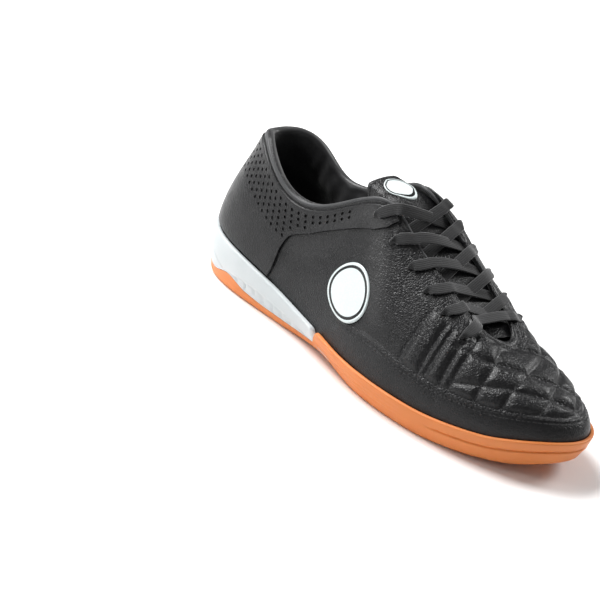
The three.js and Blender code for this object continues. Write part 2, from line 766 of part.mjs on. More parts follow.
// A point of the tongue, a depth below its upper face.
function tongueLevel(w, t, lift) {
  const along = mix(TONGUE_ROOT, 1 + TONGUE_FREE, t);
  if (along <= 1) return tongueArch(along, w, lift);
  const share = (along - 1) / TONGUE_FREE;
  const last = tongueArch(1, w, lift);
  const middle = tongueArch(1, 0.5, lift);
  const heading = tongueArch(1, 0.5, 0).sub(tongueArch(0.86, 0.5, 0)).normalize();
  heading.add(new THREE.Vector3(-TONGUE.lean, 0, -0.3 * TONGUE.lean)).normalize();
  const spread = (TONGUE.topSpread * share) / (last.distanceTo(middle) + 1);
  const roundCorner = TONGUE.topRound * share * share * (2 * w - 1) ** 4;
  return last.lerp(middle, -spread).addScaledVector(heading, share * TONGUE.freeLength - roundCorner);
}

function tongueSolid() {
  return sheetSolid(12, TONGUE_SECTIONS, (c, r, level) => tongueLevel(c, r, (1 - level) * TONGUE.thickness));
}

// Heel panel and patches

function heelPanelSolid() {
  const spacing = STATIONS / AROUND;
  const columns = 2 * Math.round(PANEL_END / spacing);
  const rows = 4;
  return sheetSolid(columns, rows, (c, r, level) => {
    const u = (c - 0.5) * columns * spacing;
    const low = Math.max(panelEdge(Math.abs(u)), shareAtHeight(u, biteAt(u))) + 0.02;
    const v = mix(low, 0.972, r);
    return liftedPoint(u, v, PANEL.lift + level * PANEL.thickness);
  });
}

// A round patch that follows the side's surface.
function roundPatch(u, v, radius) {
  const rings = 2;
  const sides = 24;
  const uLength = skinPoint(u + 0.1, v).distanceTo(skinPoint(u - 0.1, v)) / 0.2;
  const vLength = skinPoint(u, v + 0.02).distanceTo(skinPoint(u, v - 0.02)) / 0.04;
  const skin = new Skin();
  const face = (lift) => {
    const centre = skinPatchPoint(skin, u, v, lift);
    const loops = range(rings).map((r) => range(sides).map((i) => {
      const turn = (2 * Math.PI * i) / sides;
      const reach = (radius * (r + 1)) / rings;
      return skinPatchPoint(
        skin,
        u + (reach * Math.cos(turn)) / uLength,
        v + (reach * Math.sin(turn)) / vLength,
        lift,
      );
    }));
    return { centre, loops };
  };
  const low = face(PANEL.lift);
  const high = face(PANEL.lift + PATCH.thickness);
  const wheel = ({ centre, loops }, outward) => {
    for (let i = 0; i < sides; i += 1) {
      const j = (i + 1) % sides;
      skin.faces.push(...(outward ? [centre, loops[0][i], loops[0][j]] : [centre, loops[0][j], loops[0][i]]));
    }
    for (let r = 0; r + 1 < rings; r += 1) {
      if (outward) skin.bridge(loops[r + 1], loops[r]);
      else skin.bridge(loops[r], loops[r + 1]);
    }
  };
  wheel(high, true);
  wheel(low, false);
  skin.bridge(low.loops[rings - 1], high.loops[rings - 1]);
  return skin.solid();
}

// A patch rides up over the mudguard's edge.
function skinPatchPoint(skin, u, v, lift) {
  const seam = seamAt(u);
  const over = stepAt(u) * (1 - smooth(v, seam + 0.02, seam + 0.12));
  const p = liftedPoint(u, v, lift + over);
  return skin.add(p.x, p.y, p.z);
}

// A plain square patch near the top of the tongue.
function tonguePatchSolid() {
  const columns = 4;
  const rows = 3;
  return sheetSolid(columns, rows, (c, r, level) => {
    const w = mix(PATCH.tongueMiddle - PATCH.tongueWide, PATCH.tongueMiddle + PATCH.tongueWide, c);
    const t = mix(PATCH.tongueFrom, PATCH.tongueTo, r);
    const lift = -CURVE_CLEAR - level * PATCH.thickness;
    return tongueLevel(w, t, lift);
  });
}

// Laces

// A flat strap along a path of points with its own up directions.
function strapSolid(path) {
  const skin = new Skin();
  const rings = path.map(({ at, up }, i) => {
    const before = path[Math.max(0, i - 1)].at;
    const after = path[Math.min(path.length - 1, i + 1)].at;
    const along = after.clone().sub(before).normalize();
    const across = up.clone().cross(along).normalize();
    const lift = along.clone().cross(across).normalize();
    return skin.addLoop([[-1, 0], [1, 0], [1, 1], [-1, 1]].map(([s, h]) => at.clone()
      .addScaledVector(across, (s * LACE.width) / 2)
      .addScaledVector(lift, h * LACE.thickness)));
  });
  for (let i = 0; i + 1 < rings.length; i += 1) skin.bridge(rings[i], rings[i + 1]);
  const [a, b, c, d] = rings[0];
  const [e, f, g, h] = rings[rings.length - 1];
  skin.faces.push(a, c, b, a, d, c, e, f, g, e, g, h);
  return skin.solid();
}

// Station where a straight line from one lace hole to another passes the throat's edge.
function edgeStation(from, to) {
  const start = skinPoint(from.u, from.v);
  const run = skinPoint(to.u, to.v).sub(start).normalize();
  const awayAt = (u) => skinPoint(u, 1).sub(start).cross(run).length();
  const reach = 1; // stations to either side
  const steps = 100;
  const stations = range(2 * steps + 1).map((i) => from.u + (i / steps - 1) * reach);
  return stations.reduce((best, u) => (awayAt(u) < awayAt(best) ? u : best), from.u);
}

// A strap's middle line: from a hole up over its edge of the throat, across,
// and down to the other edge: over it to the other hole, or to where it goes under.
function lacePath(from, to, rise, under) {
  const restAt = (hole) => LACE.lift + (hole.row === 0 ? PANEL.lift + PANEL.thickness : 0);
  const startEdge = edgeStation(from, to);
  const endEdge = edgeStation(to, from);
  const startUp = skinFrame(startEdge, 1).out;
  const endUp = skinFrame(endEdge, 1).out;
  const onLeather = (hole, edge, t, up) => ({
    at: liftedPoint(mix(hole.u, edge, t), mix(hole.v, 1, t), restAt(hole) + LACE.edgeLift * t),
    up,
  });
  const sideSteps = [0, 0.5, 1];
  const first = sideSteps.map((t) => onLeather(from, startEdge, t, startUp));
  const last = sideSteps.map((t) => onLeather(to, endEdge, 1 - t, endUp));
  const tuck = liftedPoint(endEdge, 1, LACE.tuckLift - UPPER.wall - TONGUE.clear);
  const edgeA = first[first.length - 1].at;
  const curve = overThroat(edgeA, under ? tuck : last[0].at, startEdge, endEdge, LACE.arch);
  const steps = 6;
  const middle = range(steps - 1).map((k) => {
    const s = (k + 1) / steps;
    const up = startUp.clone().lerp(endUp, s).normalize();
    return { at: curve(s).addScaledVector(up, rise * Math.sin(Math.PI * s)), up };
  });
  return under ? [...first, ...middle.slice(0, -1)] : [...first, ...middle, ...last];
}

function laceCrossing(i) {
  const outer = strapSolid(lacePath(outerEyelets[i], innerEyelets[i + 1], LACE.over, true));
  const inner = strapSolid(lacePath(innerEyelets[i], outerEyelets[i + 1], 0, true));
  return outer.add(inner);
}

// Assembly

const COLOURS = {
  upper: 0x1b1b1d, heel_panel: 0x232326, tongue: 0x202022, insole: 0x2a2a2c,
  midsole: 0xe6eaec, outsole: 0xde8242, insert: 0xb34a44, lace: 0x161616, patch: 0xdfe4e6,
};

function toMesh(name, solid, colour) {
  const { vertProperties, triVerts, numProp } = solid.getMesh();
  const positions = new Float32Array((vertProperties.length / numProp) * 3);
  for (let i = 0; i < positions.length / 3; i += 1) {
    for (let k = 0; k < 3; k += 1) positions[3 * i + k] = vertProperties[i * numProp + k];
  }
  const geometry = new THREE.BufferGeometry();
  geometry.setAttribute("position", new THREE.BufferAttribute(positions, 3));
  geometry.setIndex(new THREE.BufferAttribute(new Uint32Array(triVerts), 1));
  geometry.computeVertexNormals();
  const mesh = new THREE.Mesh(geometry, new THREE.MeshStandardMaterial({ color: colour, roughness: 0.7 }));
  mesh.name = name;
  return mesh;
}

const cutAll = (solid, tools) => tools.reduce((left, tool) => left.subtract(tool), solid);

const block = soleBlock();
const recesses = Object.values(INSERTS).map(recess);
const outsole = cutAll(block.intersect(rubberSpace(0)), [flexChannel(), ...recesses]);
const midsole = cutAll(block.subtract(rubberSpace(CLEAR)), ribGrooves());
const upper = cutAll(upperSolid(), punches);
const heelPanel = cutAll(heelPanelSolid(), punches);

const group = new THREE.Group();
group.name = "indoor_soccer_shoe";
const add = (name, solid, colour) => group.add(toMesh(name, solid, colour));

add("outsole", outsole, COLOURS.outsole);
add("midsole", midsole, COLOURS.midsole);
add("insole", insoleSolid(), COLOURS.insole);
add("upper", upper, COLOURS.upper);
add("heel_panel", heelPanel, COLOURS.heel_panel);
add("tongue", tongueSolid(), COLOURS.tongue);
add("side_patch_outer", roundPatch(PATCH.at, PATCH.share, PATCH.radius), COLOURS.patch);
add("tongue_patch", tonguePatchSolid(), COLOURS.patch);
Object.entries(INSERTS).forEach(([name, outline]) => add(name, insertSolid(outline), COLOURS.insert));
const lastRow = EYELETS.length - 1;
range(lastRow).forEach((i) => add(`lace_cross_${i + 1}`, laceCrossing(i), COLOURS.lace));
add("lace_bar", strapSolid(lacePath(outerEyelets[lastRow], innerEyelets[lastRow], LACE.barRise, false)), COLOURS.lace);

export default group;
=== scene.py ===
"""Indoor soccer shoe, right foot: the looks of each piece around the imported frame.

Lengths are millimetres until a mesh is made. A station u runs round the shoe from the heel (0) along
the outer side to the toe (10) and back along the inner side (20). A share v runs up the side, from
the foot of the upper (0) to the collar's or throat's edge (1).
"""
import math

import bpy
import numpy as np
from mathutils import Matrix, Vector, kdtree, noise


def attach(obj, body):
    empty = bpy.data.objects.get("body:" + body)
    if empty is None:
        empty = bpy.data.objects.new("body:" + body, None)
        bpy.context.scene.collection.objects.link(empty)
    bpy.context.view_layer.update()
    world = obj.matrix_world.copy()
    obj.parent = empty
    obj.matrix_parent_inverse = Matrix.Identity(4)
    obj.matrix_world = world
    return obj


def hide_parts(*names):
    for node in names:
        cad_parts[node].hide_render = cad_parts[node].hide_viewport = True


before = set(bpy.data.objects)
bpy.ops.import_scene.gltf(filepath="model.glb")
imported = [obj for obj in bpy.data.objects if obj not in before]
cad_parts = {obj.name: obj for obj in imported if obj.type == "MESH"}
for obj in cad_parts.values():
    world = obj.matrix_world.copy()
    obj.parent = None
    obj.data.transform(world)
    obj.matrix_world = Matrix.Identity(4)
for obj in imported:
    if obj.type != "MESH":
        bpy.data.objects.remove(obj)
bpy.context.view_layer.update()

# Sizes, the same as in the part's source

SHOE = {"length": 286, "ball": 103, "collar": 92, "instep": 98}
WALL = 2.4
COLLAR_PAD = 4.2
FOOT_INSET = 3.4
SINK = 5
SEAM_STEP = 0.8
CLEAR = 0.3
CURVE_CLEAR = 0.4
GUM_FLOOR = 4.2
GUM_RIM = 5.2
GUM_WALL = 5.2
WELL_TAPER = 0.4
WELL_DROP = 6
CREST_IN = 0.7
CREST_DOWN = 1.2
EDGE_ROUND = 2.2
INSOLE_THICKNESS = 3.6
INSOLE_CLEAR = 0.8
TREAD_DEPTH = 1.6
CHANNEL_WIDTH = 6.5
CHANNEL_DEPTH = 1.2
EYELET_RADIUS = 2.1
LACE_WIDTH = 7
LACE_THICKNESS = 1.3
LACE_ARCH = 0.62
TONGUE = {
    "thickness": 3.4, "underlap": 12, "arch": 0.5, "free": 19, "lean": 0.85, "spread": -2, "round": 8,
    "clear": 0.9, "root": 0.16, "free_share": 0.3, "under": 0.22,
}
PANEL_LIFT = 0.6
PANEL_THICKNESS = 0.9
PATCH_RADIUS = 17.5
PATCH_THICKNESS = 0.8
PATCH_AT = (4.82, 0.425)
TONGUE_PATCH_AT = (0.54, 0.82)
TONGUE_PATCH_RADIUS = 9

# The last: station rows with the columns at, side, topAt, topSide, collar, instep, bulge, rise, pull, drop

LAST_COLUMNS = ["at", "side", "topAt", "topSide", "collar", "instep", "bulge", "rise", "pull", "drop"]
LAST_ROWS = [
    [0.000, 0.000, 0.052, 0.000, 1.000, 0.000, 0.050, 0.36, 0.30, 0.30],  # heel
    [0.040, -0.255, 0.078, -0.130, 1.010, 0.000, 0.042, 0.34, 0.24, 0.30],
    [0.135, -0.360, 0.140, -0.228, 0.925, 0.000, 0.034, 0.32, 0.18, 0.35],
    [0.250, -0.385, 0.218, -0.258, 0.820, 0.000, 0.028, 0.34, 0.15, 0.35],
    [0.375, -0.420, 0.312, -0.228, 0.885, 0.000, 0.026, 0.34, 0.20, 0.35],
    [0.500, -0.495, 0.425, -0.165, 0.000, 1.030, 0.028, 0.34, 0.32, 0.30],
    [0.620, -0.530, 0.525, -0.145, 0.000, 0.895, 0.030, 0.34, 0.42, 0.22],
    [0.745, -0.495, 0.603, -0.130, 0.000, 0.785, 0.030, 0.34, 0.50, 0.18],
    [0.865, -0.390, 0.666, -0.112, 0.000, 0.690, 0.028, 0.42, 0.56, 0.20],
    [0.960, -0.205, 0.724, -0.082, 0.000, 0.605, 0.026, 0.50, 0.61, 0.25],
    [1.000, 0.040, 0.762, 0.020, 0.000, 0.564, 0.024, 0.55, 0.64, 0.26],  # toe
    [0.965, 0.245, 0.742, 0.125, 0.000, 0.596, 0.024, 0.48, 0.58, 0.27],
    [0.880, 0.382, 0.680, 0.160, 0.000, 0.684, 0.026, 0.42, 0.46, 0.27],
    [0.775, 0.458, 0.612, 0.160, 0.000, 0.820, 0.026, 0.36, 0.43, 0.21],
    [0.660, 0.460, 0.532, 0.135, 0.000, 0.965, 0.024, 0.34, 0.50, 0.12],
    [0.540, 0.356, 0.440, 0.105, 0.000, 1.100, 0.018, 0.34, 0.62, 0.08],
    [0.410, 0.286, 0.330, 0.256, 0.930, 0.000, 0.014, 0.34, 0.26, 0.30],
    [0.275, 0.300, 0.218, 0.274, 0.815, 0.000, 0.016, 0.34, 0.15, 0.35],
    [0.145, 0.345, 0.136, 0.254, 0.945, 0.000, 0.024, 0.34, 0.18, 0.35],
    [0.040, 0.255, 0.078, 0.150, 1.015, 0.000, 0.036, 0.34, 0.24, 0.30],
]
STATIONS = len(LAST_ROWS)
THROAT_OUTER = 5
THROAT_BASE = 10
THROAT_INNER = 15

BITE_LINE = [
    [0, 31], [0.12, 28.5], [0.25, 24], [0.4, 17.5], [0.55, 15.5], [0.7, 15.5], [0.85, 19], [1, 27],
]
GROUND_LINE = [
    [0, 2.6], [0.06, 0.3], [0.1, 0], [0.3, 0], [0.43, 1.8], [0.56, 0], [0.72, 0], [0.8, 1.4], [0.9, 5],
    [1, 11],
]
SIDE_TUCK = [
    [0, 3.5], [0.12, 3.5], [0.25, 5], [0.42, 8], [0.58, 4.5], [0.75, 3], [0.9, 3.5], [1, 5],
]
RIM_WAVE = [[0, 0], [0.07, 0.4], [0.13, 5], [0.19, 1.2], [0.26, 0], [1, 0]]
FOAM_END = 0.4
FOAM_END_RUN = 0.022
MUDGUARD_SEAM = [[0, 0.26], [0.4, 0.26], [0.5, 0.26], [0.6, 0.29], [0.7, 0.295], [0.85, 0.295], [1, 0.34]]
MUDGUARD_GROW = [[0, 0], [0.42, 0], [0.5, 1], [1, 1]]
PANEL_EDGE = [
    [0, 0.04], [2.86, 0.04], [3.0, 0.22], [3.08, 0.46], [3.25, 0.63], [3.6, 0.72], [4.12, 0.785],
    [4.9, 0.79], [5.2, 0.84], [5.46, 0.93],
]
PANEL_END = 5.46

# Lace holes from the collar down: station and share of the side's curve
EYELETS = {
    "outer": [(4.95, 0.895), (5.43, 0.825), (6.0, 0.82), (6.53, 0.79), (7.06, 0.755), (7.59, 0.7)],
    "inner": [(14.75, 0.85), (14.36, 0.83), (13.89, 0.82), (13.4, 0.79), (12.88, 0.76), (12.45, 0.71)],
}

# Colours, in linear light

COLOUR = {
    "leather": (0.005, 0.005, 0.0055),
    "leather_worn": (0.011, 0.011, 0.012),
    "lining": (0.006, 0.006, 0.007),
    "piping": (0.024, 0.025, 0.027),
    "lace": (0.012, 0.012, 0.0125),
    "thread": (0.005, 0.005, 0.006),
    "foam": (0.56, 0.60, 0.61),
    "gum": (0.70, 0.215, 0.055),
    "red": (0.42, 0.075, 0.055),
    "patch": (0.62, 0.69, 0.69),
    "insole": (0.020, 0.020, 0.022),
    "floor": (0.94, 0.94, 0.94),
}


# Curves and tables


def hermite(a, b, slope_a, slope_b, t):
    t2 = t * t
    t3 = t2 * t
    return (
        (2 * t3 - 3 * t2 + 1) * a + (t3 - 2 * t2 + t) * slope_a
        + (3 * t2 - 2 * t3) * b + (t3 - t2) * slope_b
    )


def table_curve(rows):
    """A curve through rows of two numbers, level where the table turns and at its ends."""
    xs, ys = np.array(rows, float).T
    rise = np.diff(ys) / np.diff(xs)
    before, after = rise[:-1], rise[1:]
    turning = before * after <= 0
    slopes = np.zeros(len(xs))
    slopes[1:-1] = np.where(turning, 0, 2 * before * after / np.where(turning, 1, before + after))

    def curve(x):
        x = np.clip(x, xs[0], xs[-1])
        i = np.clip(np.searchsorted(xs, x, side="right") - 1, 0, len(xs) - 2)
        run = xs[i + 1] - xs[i]
        return hermite(ys[i], ys[i + 1], slopes[i] * run, slopes[i + 1] * run, (x - xs[i]) / run)

    return curve


def loop_slopes(values):
    """Slopes of a smooth closed curve through evenly spaced values."""
    count = len(values)
    ring = np.eye(count) * 4 + np.roll(np.eye(count), 1, 0) + np.roll(np.eye(count), -1, 0)
    return np.linalg.solve(ring, 3 * (np.roll(values, -1) - np.roll(values, 1)))


LAST_VALUES = {name: np.array([row[c] for row in LAST_ROWS]) for c, name in enumerate(LAST_COLUMNS)}
LAST_SLOPES = {name: loop_slopes(values) for name, values in LAST_VALUES.items()}


def last_at(name, u):
    wrapped = np.mod(u, STATIONS)
    i = np.floor(wrapped).astype(int) % STATIONS
    j = (i + 1) % STATIONS
    values, slopes = LAST_VALUES[name], LAST_SLOPES[name]
    return hermite(values[i], values[j], slopes[i], slopes[j], wrapped - np.floor(wrapped))


bite_line = table_curve(BITE_LINE)
ground_line = table_curve(GROUND_LINE)
side_tuck = table_curve(SIDE_TUCK)
rim_wave = table_curve(RIM_WAVE)
mudguard_seam = table_curve(MUDGUARD_SEAM)
mudguard_grow = table_curve(MUDGUARD_GROW)
panel_edge = table_curve(PANEL_EDGE)


def smooth(x, low, high):
    t = np.clip((x - low) / (high - low), 0, 1)
    return t * t * (3 - 2 * t)


def mix(a, b, t):
    return a + (b - a) * t


def unit(vectors):
    return vectors / np.maximum(np.linalg.norm(vectors, axis=-1, keepdims=True), 1e-9)


def smooth_path(rows, steps):
    """A smooth curve through rows of numbers, in so many steps between two rows."""
    rows = np.asarray(rows, float)
    slopes = np.gradient(rows, axis=0)
    t = np.linspace(0, len(rows) - 1, (len(rows) - 1) * steps + 1)
    i = np.minimum(t.astype(int), len(rows) - 2)
    return hermite(rows[i], rows[i + 1], slopes[i], slopes[i + 1], (t - i)[:, None])


def even_path(rows, points, spacing):
    """Rows picked so that their points lie evenly along the line."""
    gone = np.concatenate([[0], np.cumsum(np.linalg.norm(np.diff(points, axis=0), axis=1))])
    count = max(2, int(round(gone[-1] / spacing)) + 1)
    at = np.linspace(0, gone[-1], count)
    return np.stack([np.interp(at, gone, rows[:, k]) for k in range(rows.shape[1])], 1)


# The sole's plan and the upper's skin

_sides = last_at("side", np.linspace(0, STATIONS, 321))
SIDE_MIDDLE = (_sides.max() + _sides.min()) / 2


def x_of(share):
    return (share - 0.5) * SHOE["length"]


def y_of(side):
    return (side - SIDE_MIDDLE) * SHOE["ball"]


def share_of(x):
    return np.clip(x / SHOE["length"] + 0.5, 0, 1)


def edge_point(u):
    return np.stack([x_of(last_at("at", u)), y_of(last_at("side", u))], -1)


def edge_normal(u):
    along = unit(edge_point(u + 0.02) - edge_point(u - 0.02))
    return np.stack([along[..., 1], -along[..., 0]], -1)


def inset_point(u, inset):
    return edge_point(u) - edge_normal(u) * np.asarray(inset, float)[..., None]


def share_at(u):
    return np.clip(last_at("at", u), 0, 1)


def bite_at(u):
    return bite_line(share_at(u))


def ground_at(x):
    return ground_line(share_of(x))


def with_height(plan, z):
    return np.concatenate([plan, np.broadcast_to(z, plan.shape[:-1])[..., None]], -1)


def skin_point(u, v):
    u, v = np.broadcast_arrays(np.asarray(u, float), np.asarray(v, float))
    foot = inset_point(u, FOOT_INSET)
    foot_z = bite_at(u) - SINK
    top = np.stack([x_of(last_at("topAt", u)), y_of(last_at("topSide", u))], -1)
    top_z = last_at("collar", u) * SHOE["collar"] + last_at("instep", u) * SHOE["instep"]
    tall = top_z - foot_z
    belly = foot + edge_normal(u) * (last_at("bulge", u) * SHOE["ball"])[..., None]
    shoulder = mix(top, foot, last_at("pull", u)[..., None])
    handles = (
        with_height(foot, foot_z),
        with_height(belly, foot_z + tall * last_at("rise", u)),
        with_height(shoulder, top_z - tall * last_at("drop", u)),
        with_height(top, top_z),
    )
    w = v[..., None]
    shares = ((1 - w) ** 3, 3 * (1 - w) ** 2 * w, 3 * (1 - w) * w ** 2, w ** 3)
    return sum(share * handle for share, handle in zip(shares, handles))


def skin_frame(u, v):
    """Unit directions of the skin: along the loop, up the side, and outward."""
    u, v = np.broadcast_arrays(np.asarray(u, float), np.asarray(v, float))
    along = unit(skin_point(u + 0.02, v) - skin_point(u - 0.02, v))
    up = unit(skin_point(u, np.minimum(v + 0.01, 1)) - skin_point(u, np.maximum(v - 0.01, 0)))
    return along, up, unit(np.cross(along, up))


def lifted(u, v, lift):
    return skin_point(u, v) + skin_frame(u, v)[2] * np.asarray(lift, float)[..., None]


def side_length(u, v):
    """Millimetres of the side's curve for one whole share."""
    step = 0.01
    return np.linalg.norm(skin_point(u, v + step) - skin_point(u, v - step), axis=-1) / (2 * step)


def share_at_height(u, z):
    low, high = np.zeros(np.shape(u)), np.full(np.shape(u), 0.5)
    for _ in range(24):
        middle = (low + high) / 2
        under = skin_point(u, middle)[..., 2] < z
        low, high = np.where(under, middle, low), np.where(under, high, middle)
    return (low + high) / 2


def depth_from_edge(u, length):
    """The share that lies so far below the skin's upper edge."""
    u = np.asarray(u, float)
    vs = np.linspace(1, 0.4, 61)
    points = skin_point(u[..., None], vs)
    gone = np.cumsum(np.linalg.norm(np.diff(points, axis=-2), axis=-1), axis=-1)
    gone = np.concatenate([np.zeros(gone.shape[:-1] + (1,)), gone], -1)
    wanted = np.ravel(np.broadcast_to(length, u.shape))
    flat = [np.interp(want, g, vs) for want, g in zip(wanted, gone.reshape(-1, len(vs)))]
    return np.array(flat).reshape(u.shape)


def seam_at(u):
    return mudguard_seam(share_at(u))


def step_at(u):
    return SEAM_STEP * mudguard_grow(share_at(u))


def from_heel(u):
    """Stations from the heel's middle, positive on the outer side."""
    u = np.mod(u, STATIONS)
    return np.where(u > STATIONS / 2, u - STATIONS, u)


def wall_at(u, v):
    away = np.abs(from_heel(u))
    back = 1 - smooth(away, THROAT_OUTER - 1.9, THROAT_OUTER - 0.6)
    high = smooth(v, 0.5, 0.82) * (1 - 0.3 * smooth(v, 0.85, 1))
    return WALL + COLLAR_PAD * back * high


# Meshes


class Skin:
    """One mesh in millimetres. A face holds four points, or three and -1, and the number of its material."""

    def __init__(self):
        self.points = np.zeros((0, 3))
        self.faces = np.zeros((0, 4), int)
        self.kinds = np.zeros(0, int)

    def add(self, points):
        start = len(self.points)
        points = np.asarray(points, float)
        self.points = np.vstack([self.points, points.reshape(-1, 3)])
        return np.arange(start, len(self.points)).reshape(points.shape[:-1])

    def face(self, corners, kind=0):
        corners = np.stack([np.ravel(c) for c in np.broadcast_arrays(*corners)], -1)
        if corners.shape[1] == 3:
            corners = np.column_stack([corners, np.full(len(corners), -1)])
        self.faces = np.vstack([self.faces, corners])
        self.kinds = np.concatenate([self.kinds, np.full(len(corners), kind)])

    def bridge(self, low, high, kind=0, closed=True):
        if closed:
            low, high = np.append(low, low[0]), np.append(high, high[0])
        self.face((low[:-1], low[1:], high[1:], high[:-1]), kind)

    def net(self, rows, kind=0, closed=True):
        for low, high in zip(rows[:-1], rows[1:]):
            self.bridge(low, high, kind, closed)

    def fan(self, loop, centre, kind=0):
        self.face((loop, np.roll(loop, -1), np.full(len(loop), centre)), kind)

    def ladder(self, loop, rows, height=None, faces_up=True, kind=0):
        """Rungs across a loop that runs from heel to toe and back."""
        half = len(loop) // 2
        left, right = loop[1:half], loop[:half:-1]
        t = (np.arange(1, rows) / rows)[None, :, None]
        inner = mix(self.points[left][:, None], self.points[right][:, None], t)
        if height:
            inner[..., 2] = height(inner)
        rungs = np.column_stack([left, self.add(inner), right])
        corners = (rungs[:-1, :-1], rungs[1:, :-1], rungs[1:, 1:], rungs[:-1, 1:])
        self.face(corners if faces_up else corners[::-1], kind)
        heel = (np.full(rows, loop[0]), rungs[0, :-1], rungs[0, 1:])
        toe = (rungs[-1, :-1], np.full(rows, loop[half]), rungs[-1, 1:])
        for corners in (heel, toe):
            self.face(corners if faces_up else corners[::-1], kind)

    def open_hole(self, centre, along, up, radius, sides, reach, inward=1, kind=0):
        """Takes out the faces round a point, and closes the mesh again to a ring there. Gives the ring."""
        out = np.cross(along, up)
        offset = self.points - centre
        a, b, depth = offset @ along, offset @ up, offset @ out
        near = (np.hypot(a, b) < radius + 0.25) & (np.abs(depth) < reach)
        touched = near[self.faces] & (self.faces >= 0)
        cut = touched.any(1)
        edge = np.unique(self.faces[cut])
        edge = edge[(edge >= 0)]
        edge = edge[~near[edge]]
        self.faces, self.kinds = self.faces[~cut], self.kinds[~cut]
        angles = np.arctan2(b[edge], a[edge])
        order = np.argsort(angles)
        edge, angles = edge[order], angles[order]
        turns = angles[0] + np.arange(sides) * 2 * math.pi / sides
        middle = depth[edge].mean()
        ring = self.add(
            centre + radius * (np.cos(turns)[:, None] * along + np.sin(turns)[:, None] * up) + middle * out
        )
        edge_turn = np.append(angles, angles[0] + 2 * math.pi)
        ring_turn = np.append(turns, turns[0] + 2 * math.pi)
        i = j = 0
        while i < len(edge) or j < sides:
            if j == sides or (i < len(edge) and edge_turn[i + 1] <= ring_turn[j + 1]):
                corners = (edge[i], edge[(i + 1) % len(edge)], ring[j % sides])
                i += 1
            else:
                corners = (edge[i % len(edge)], ring[(j + 1) % sides], ring[j])
                j += 1
            self.face(corners[::inward], kind)
        return ring

    def build(self, name, materials, smooth_angle=40):
        used = np.unique(self.faces[self.faces >= 0])
        place = np.full(len(self.points) + 1, -1)
        place[used] = np.arange(len(used))
        mesh = bpy.data.meshes.new(name)
        faces = [[c for c in face if c >= 0] for face in place[self.faces].tolist()]
        mesh.from_pydata((self.points[used] / 1000).tolist(), [], faces)
        for material in materials:
            mesh.materials.append(material)
        mesh.polygons.foreach_set("material_index", self.kinds.astype(np.int32))
        mesh.shade_smooth()
        if smooth_angle:
            mesh.set_sharp_from_angle(angle=math.radians(smooth_angle))
        mesh.update()
        piece = bpy.data.objects.new(name, mesh)
        bpy.context.scene.collection.objects.link(piece)
        return piece


def sheet(skin, columns, rows, point_at, kind=0, under_kind=0):
    """A closed sheet between two levels."""
    c, r = np.meshgrid(np.linspace(0, 1, columns + 1), np.asarray(rows, float))
    under = skin.add(point_at(c, r, 0.0))
    over = skin.add(point_at(c, r, 1.0))
    skin.net(over, kind, closed=False)
    skin.net(under[::-1], under_kind, closed=False)
    skin.bridge(under[0], over[0], kind, closed=False)
    skin.bridge(over[-1], under[-1], kind, closed=False)
    skin.bridge(over[:, 0], under[:, 0], kind, closed=False)
    skin.bridge(under[:, -1], over[:, -1], kind, closed=False)


def sweep(skin, path, ups, profile_at):
    """Carries a closed profile of (across, lift) rows along a path, and closes both ends."""
    along = unit(np.gradient(path, axis=0))
    across = unit(np.cross(ups, along))
    lift = np.cross(along, across)
    profile = profile_at(np.arange(len(path)))
    points = path[:, None] + across[:, None] * profile[..., :1] + lift[:, None] * profile[..., 1:]
    rings = skin.add(points)
    skin.net(rings)
    for ring, order in ((rings[0], -1), (rings[-1], 1)):
        skin.fan(ring[::order], skin.add(skin.points[ring].mean(0)))


def capsules(skin, centres, along, up, length, radius):
    """Small rounded rods, one at each centre."""
    across = np.cross(up, along)
    sides = 6
    turns = np.arange(sides) * 2 * math.pi / sides
    stations = [(-0.5, 0.35), (-0.36, 0.85), (0, 1.0), (0.36, 0.85), (0.5, 0.35)]
    rings = []
    for place, size in stations:
        middle = centres + along * (place * length)
        ring = middle[:, None] + radius * size * (
            across[:, None] * np.cos(turns)[None, :, None] + up[:, None] * np.sin(turns)[None, :, None]
        )
        rings.append(skin.add(ring))
    for low, high in zip(rings[:-1], rings[1:]):
        for k in range(sides):
            n = (k + 1) % sides
            skin.face((low[:, k], low[:, n], high[:, n], high[:, k]))
    for ring, order in ((rings[0], -1), (rings[-1], 1)):
        corners = [ring[:, k] for k in range(sides)][::order]
        for k in range(1, sides - 1):
            skin.face((corners[0], corners[k], corners[k + 1]))


# Materials


def principled(name, colour, roughness, **sockets):
    material = bpy.data.materials.new(name)
    material.use_nodes = True
    shader = material.node_tree.nodes["Principled BSDF"]
    shader.inputs["Base Color"].default_value = (*colour, 1)
    shader.inputs["Roughness"].default_value = roughness
    for socket, value in sockets.items():
        shader.inputs[socket.replace("_", " ")].default_value = value
    material.diffuse_color = (*colour, 1)
    return material, material.node_tree, shader


def node(tree, kind, **settings):
    made = tree.nodes.new(kind)
    for key, value in settings.items():
        if key in made.inputs:
            made.inputs[key].default_value = value
        else:
            setattr(made, key, value)
    return made


def place_node(tree, stretch=(1, 1, 1)):
    """The point in the shoe's frame, in metres."""
    coordinates = tree.nodes.new("ShaderNodeTexCoord")
    if stretch == (1, 1, 1):
        return coordinates.outputs["Object"]
    mapping = node(tree, "ShaderNodeMapping", Scale=stretch)
    tree.links.new(coordinates.outputs["Object"], mapping.inputs["Vector"])
    return mapping.outputs["Vector"]


def noise_node(tree, place, scale, detail=3.0, roughness=0.55):
    made = node(tree, "ShaderNodeTexNoise", Scale=scale, Detail=detail, Roughness=roughness)
    tree.links.new(place, made.inputs["Vector"])
    return made


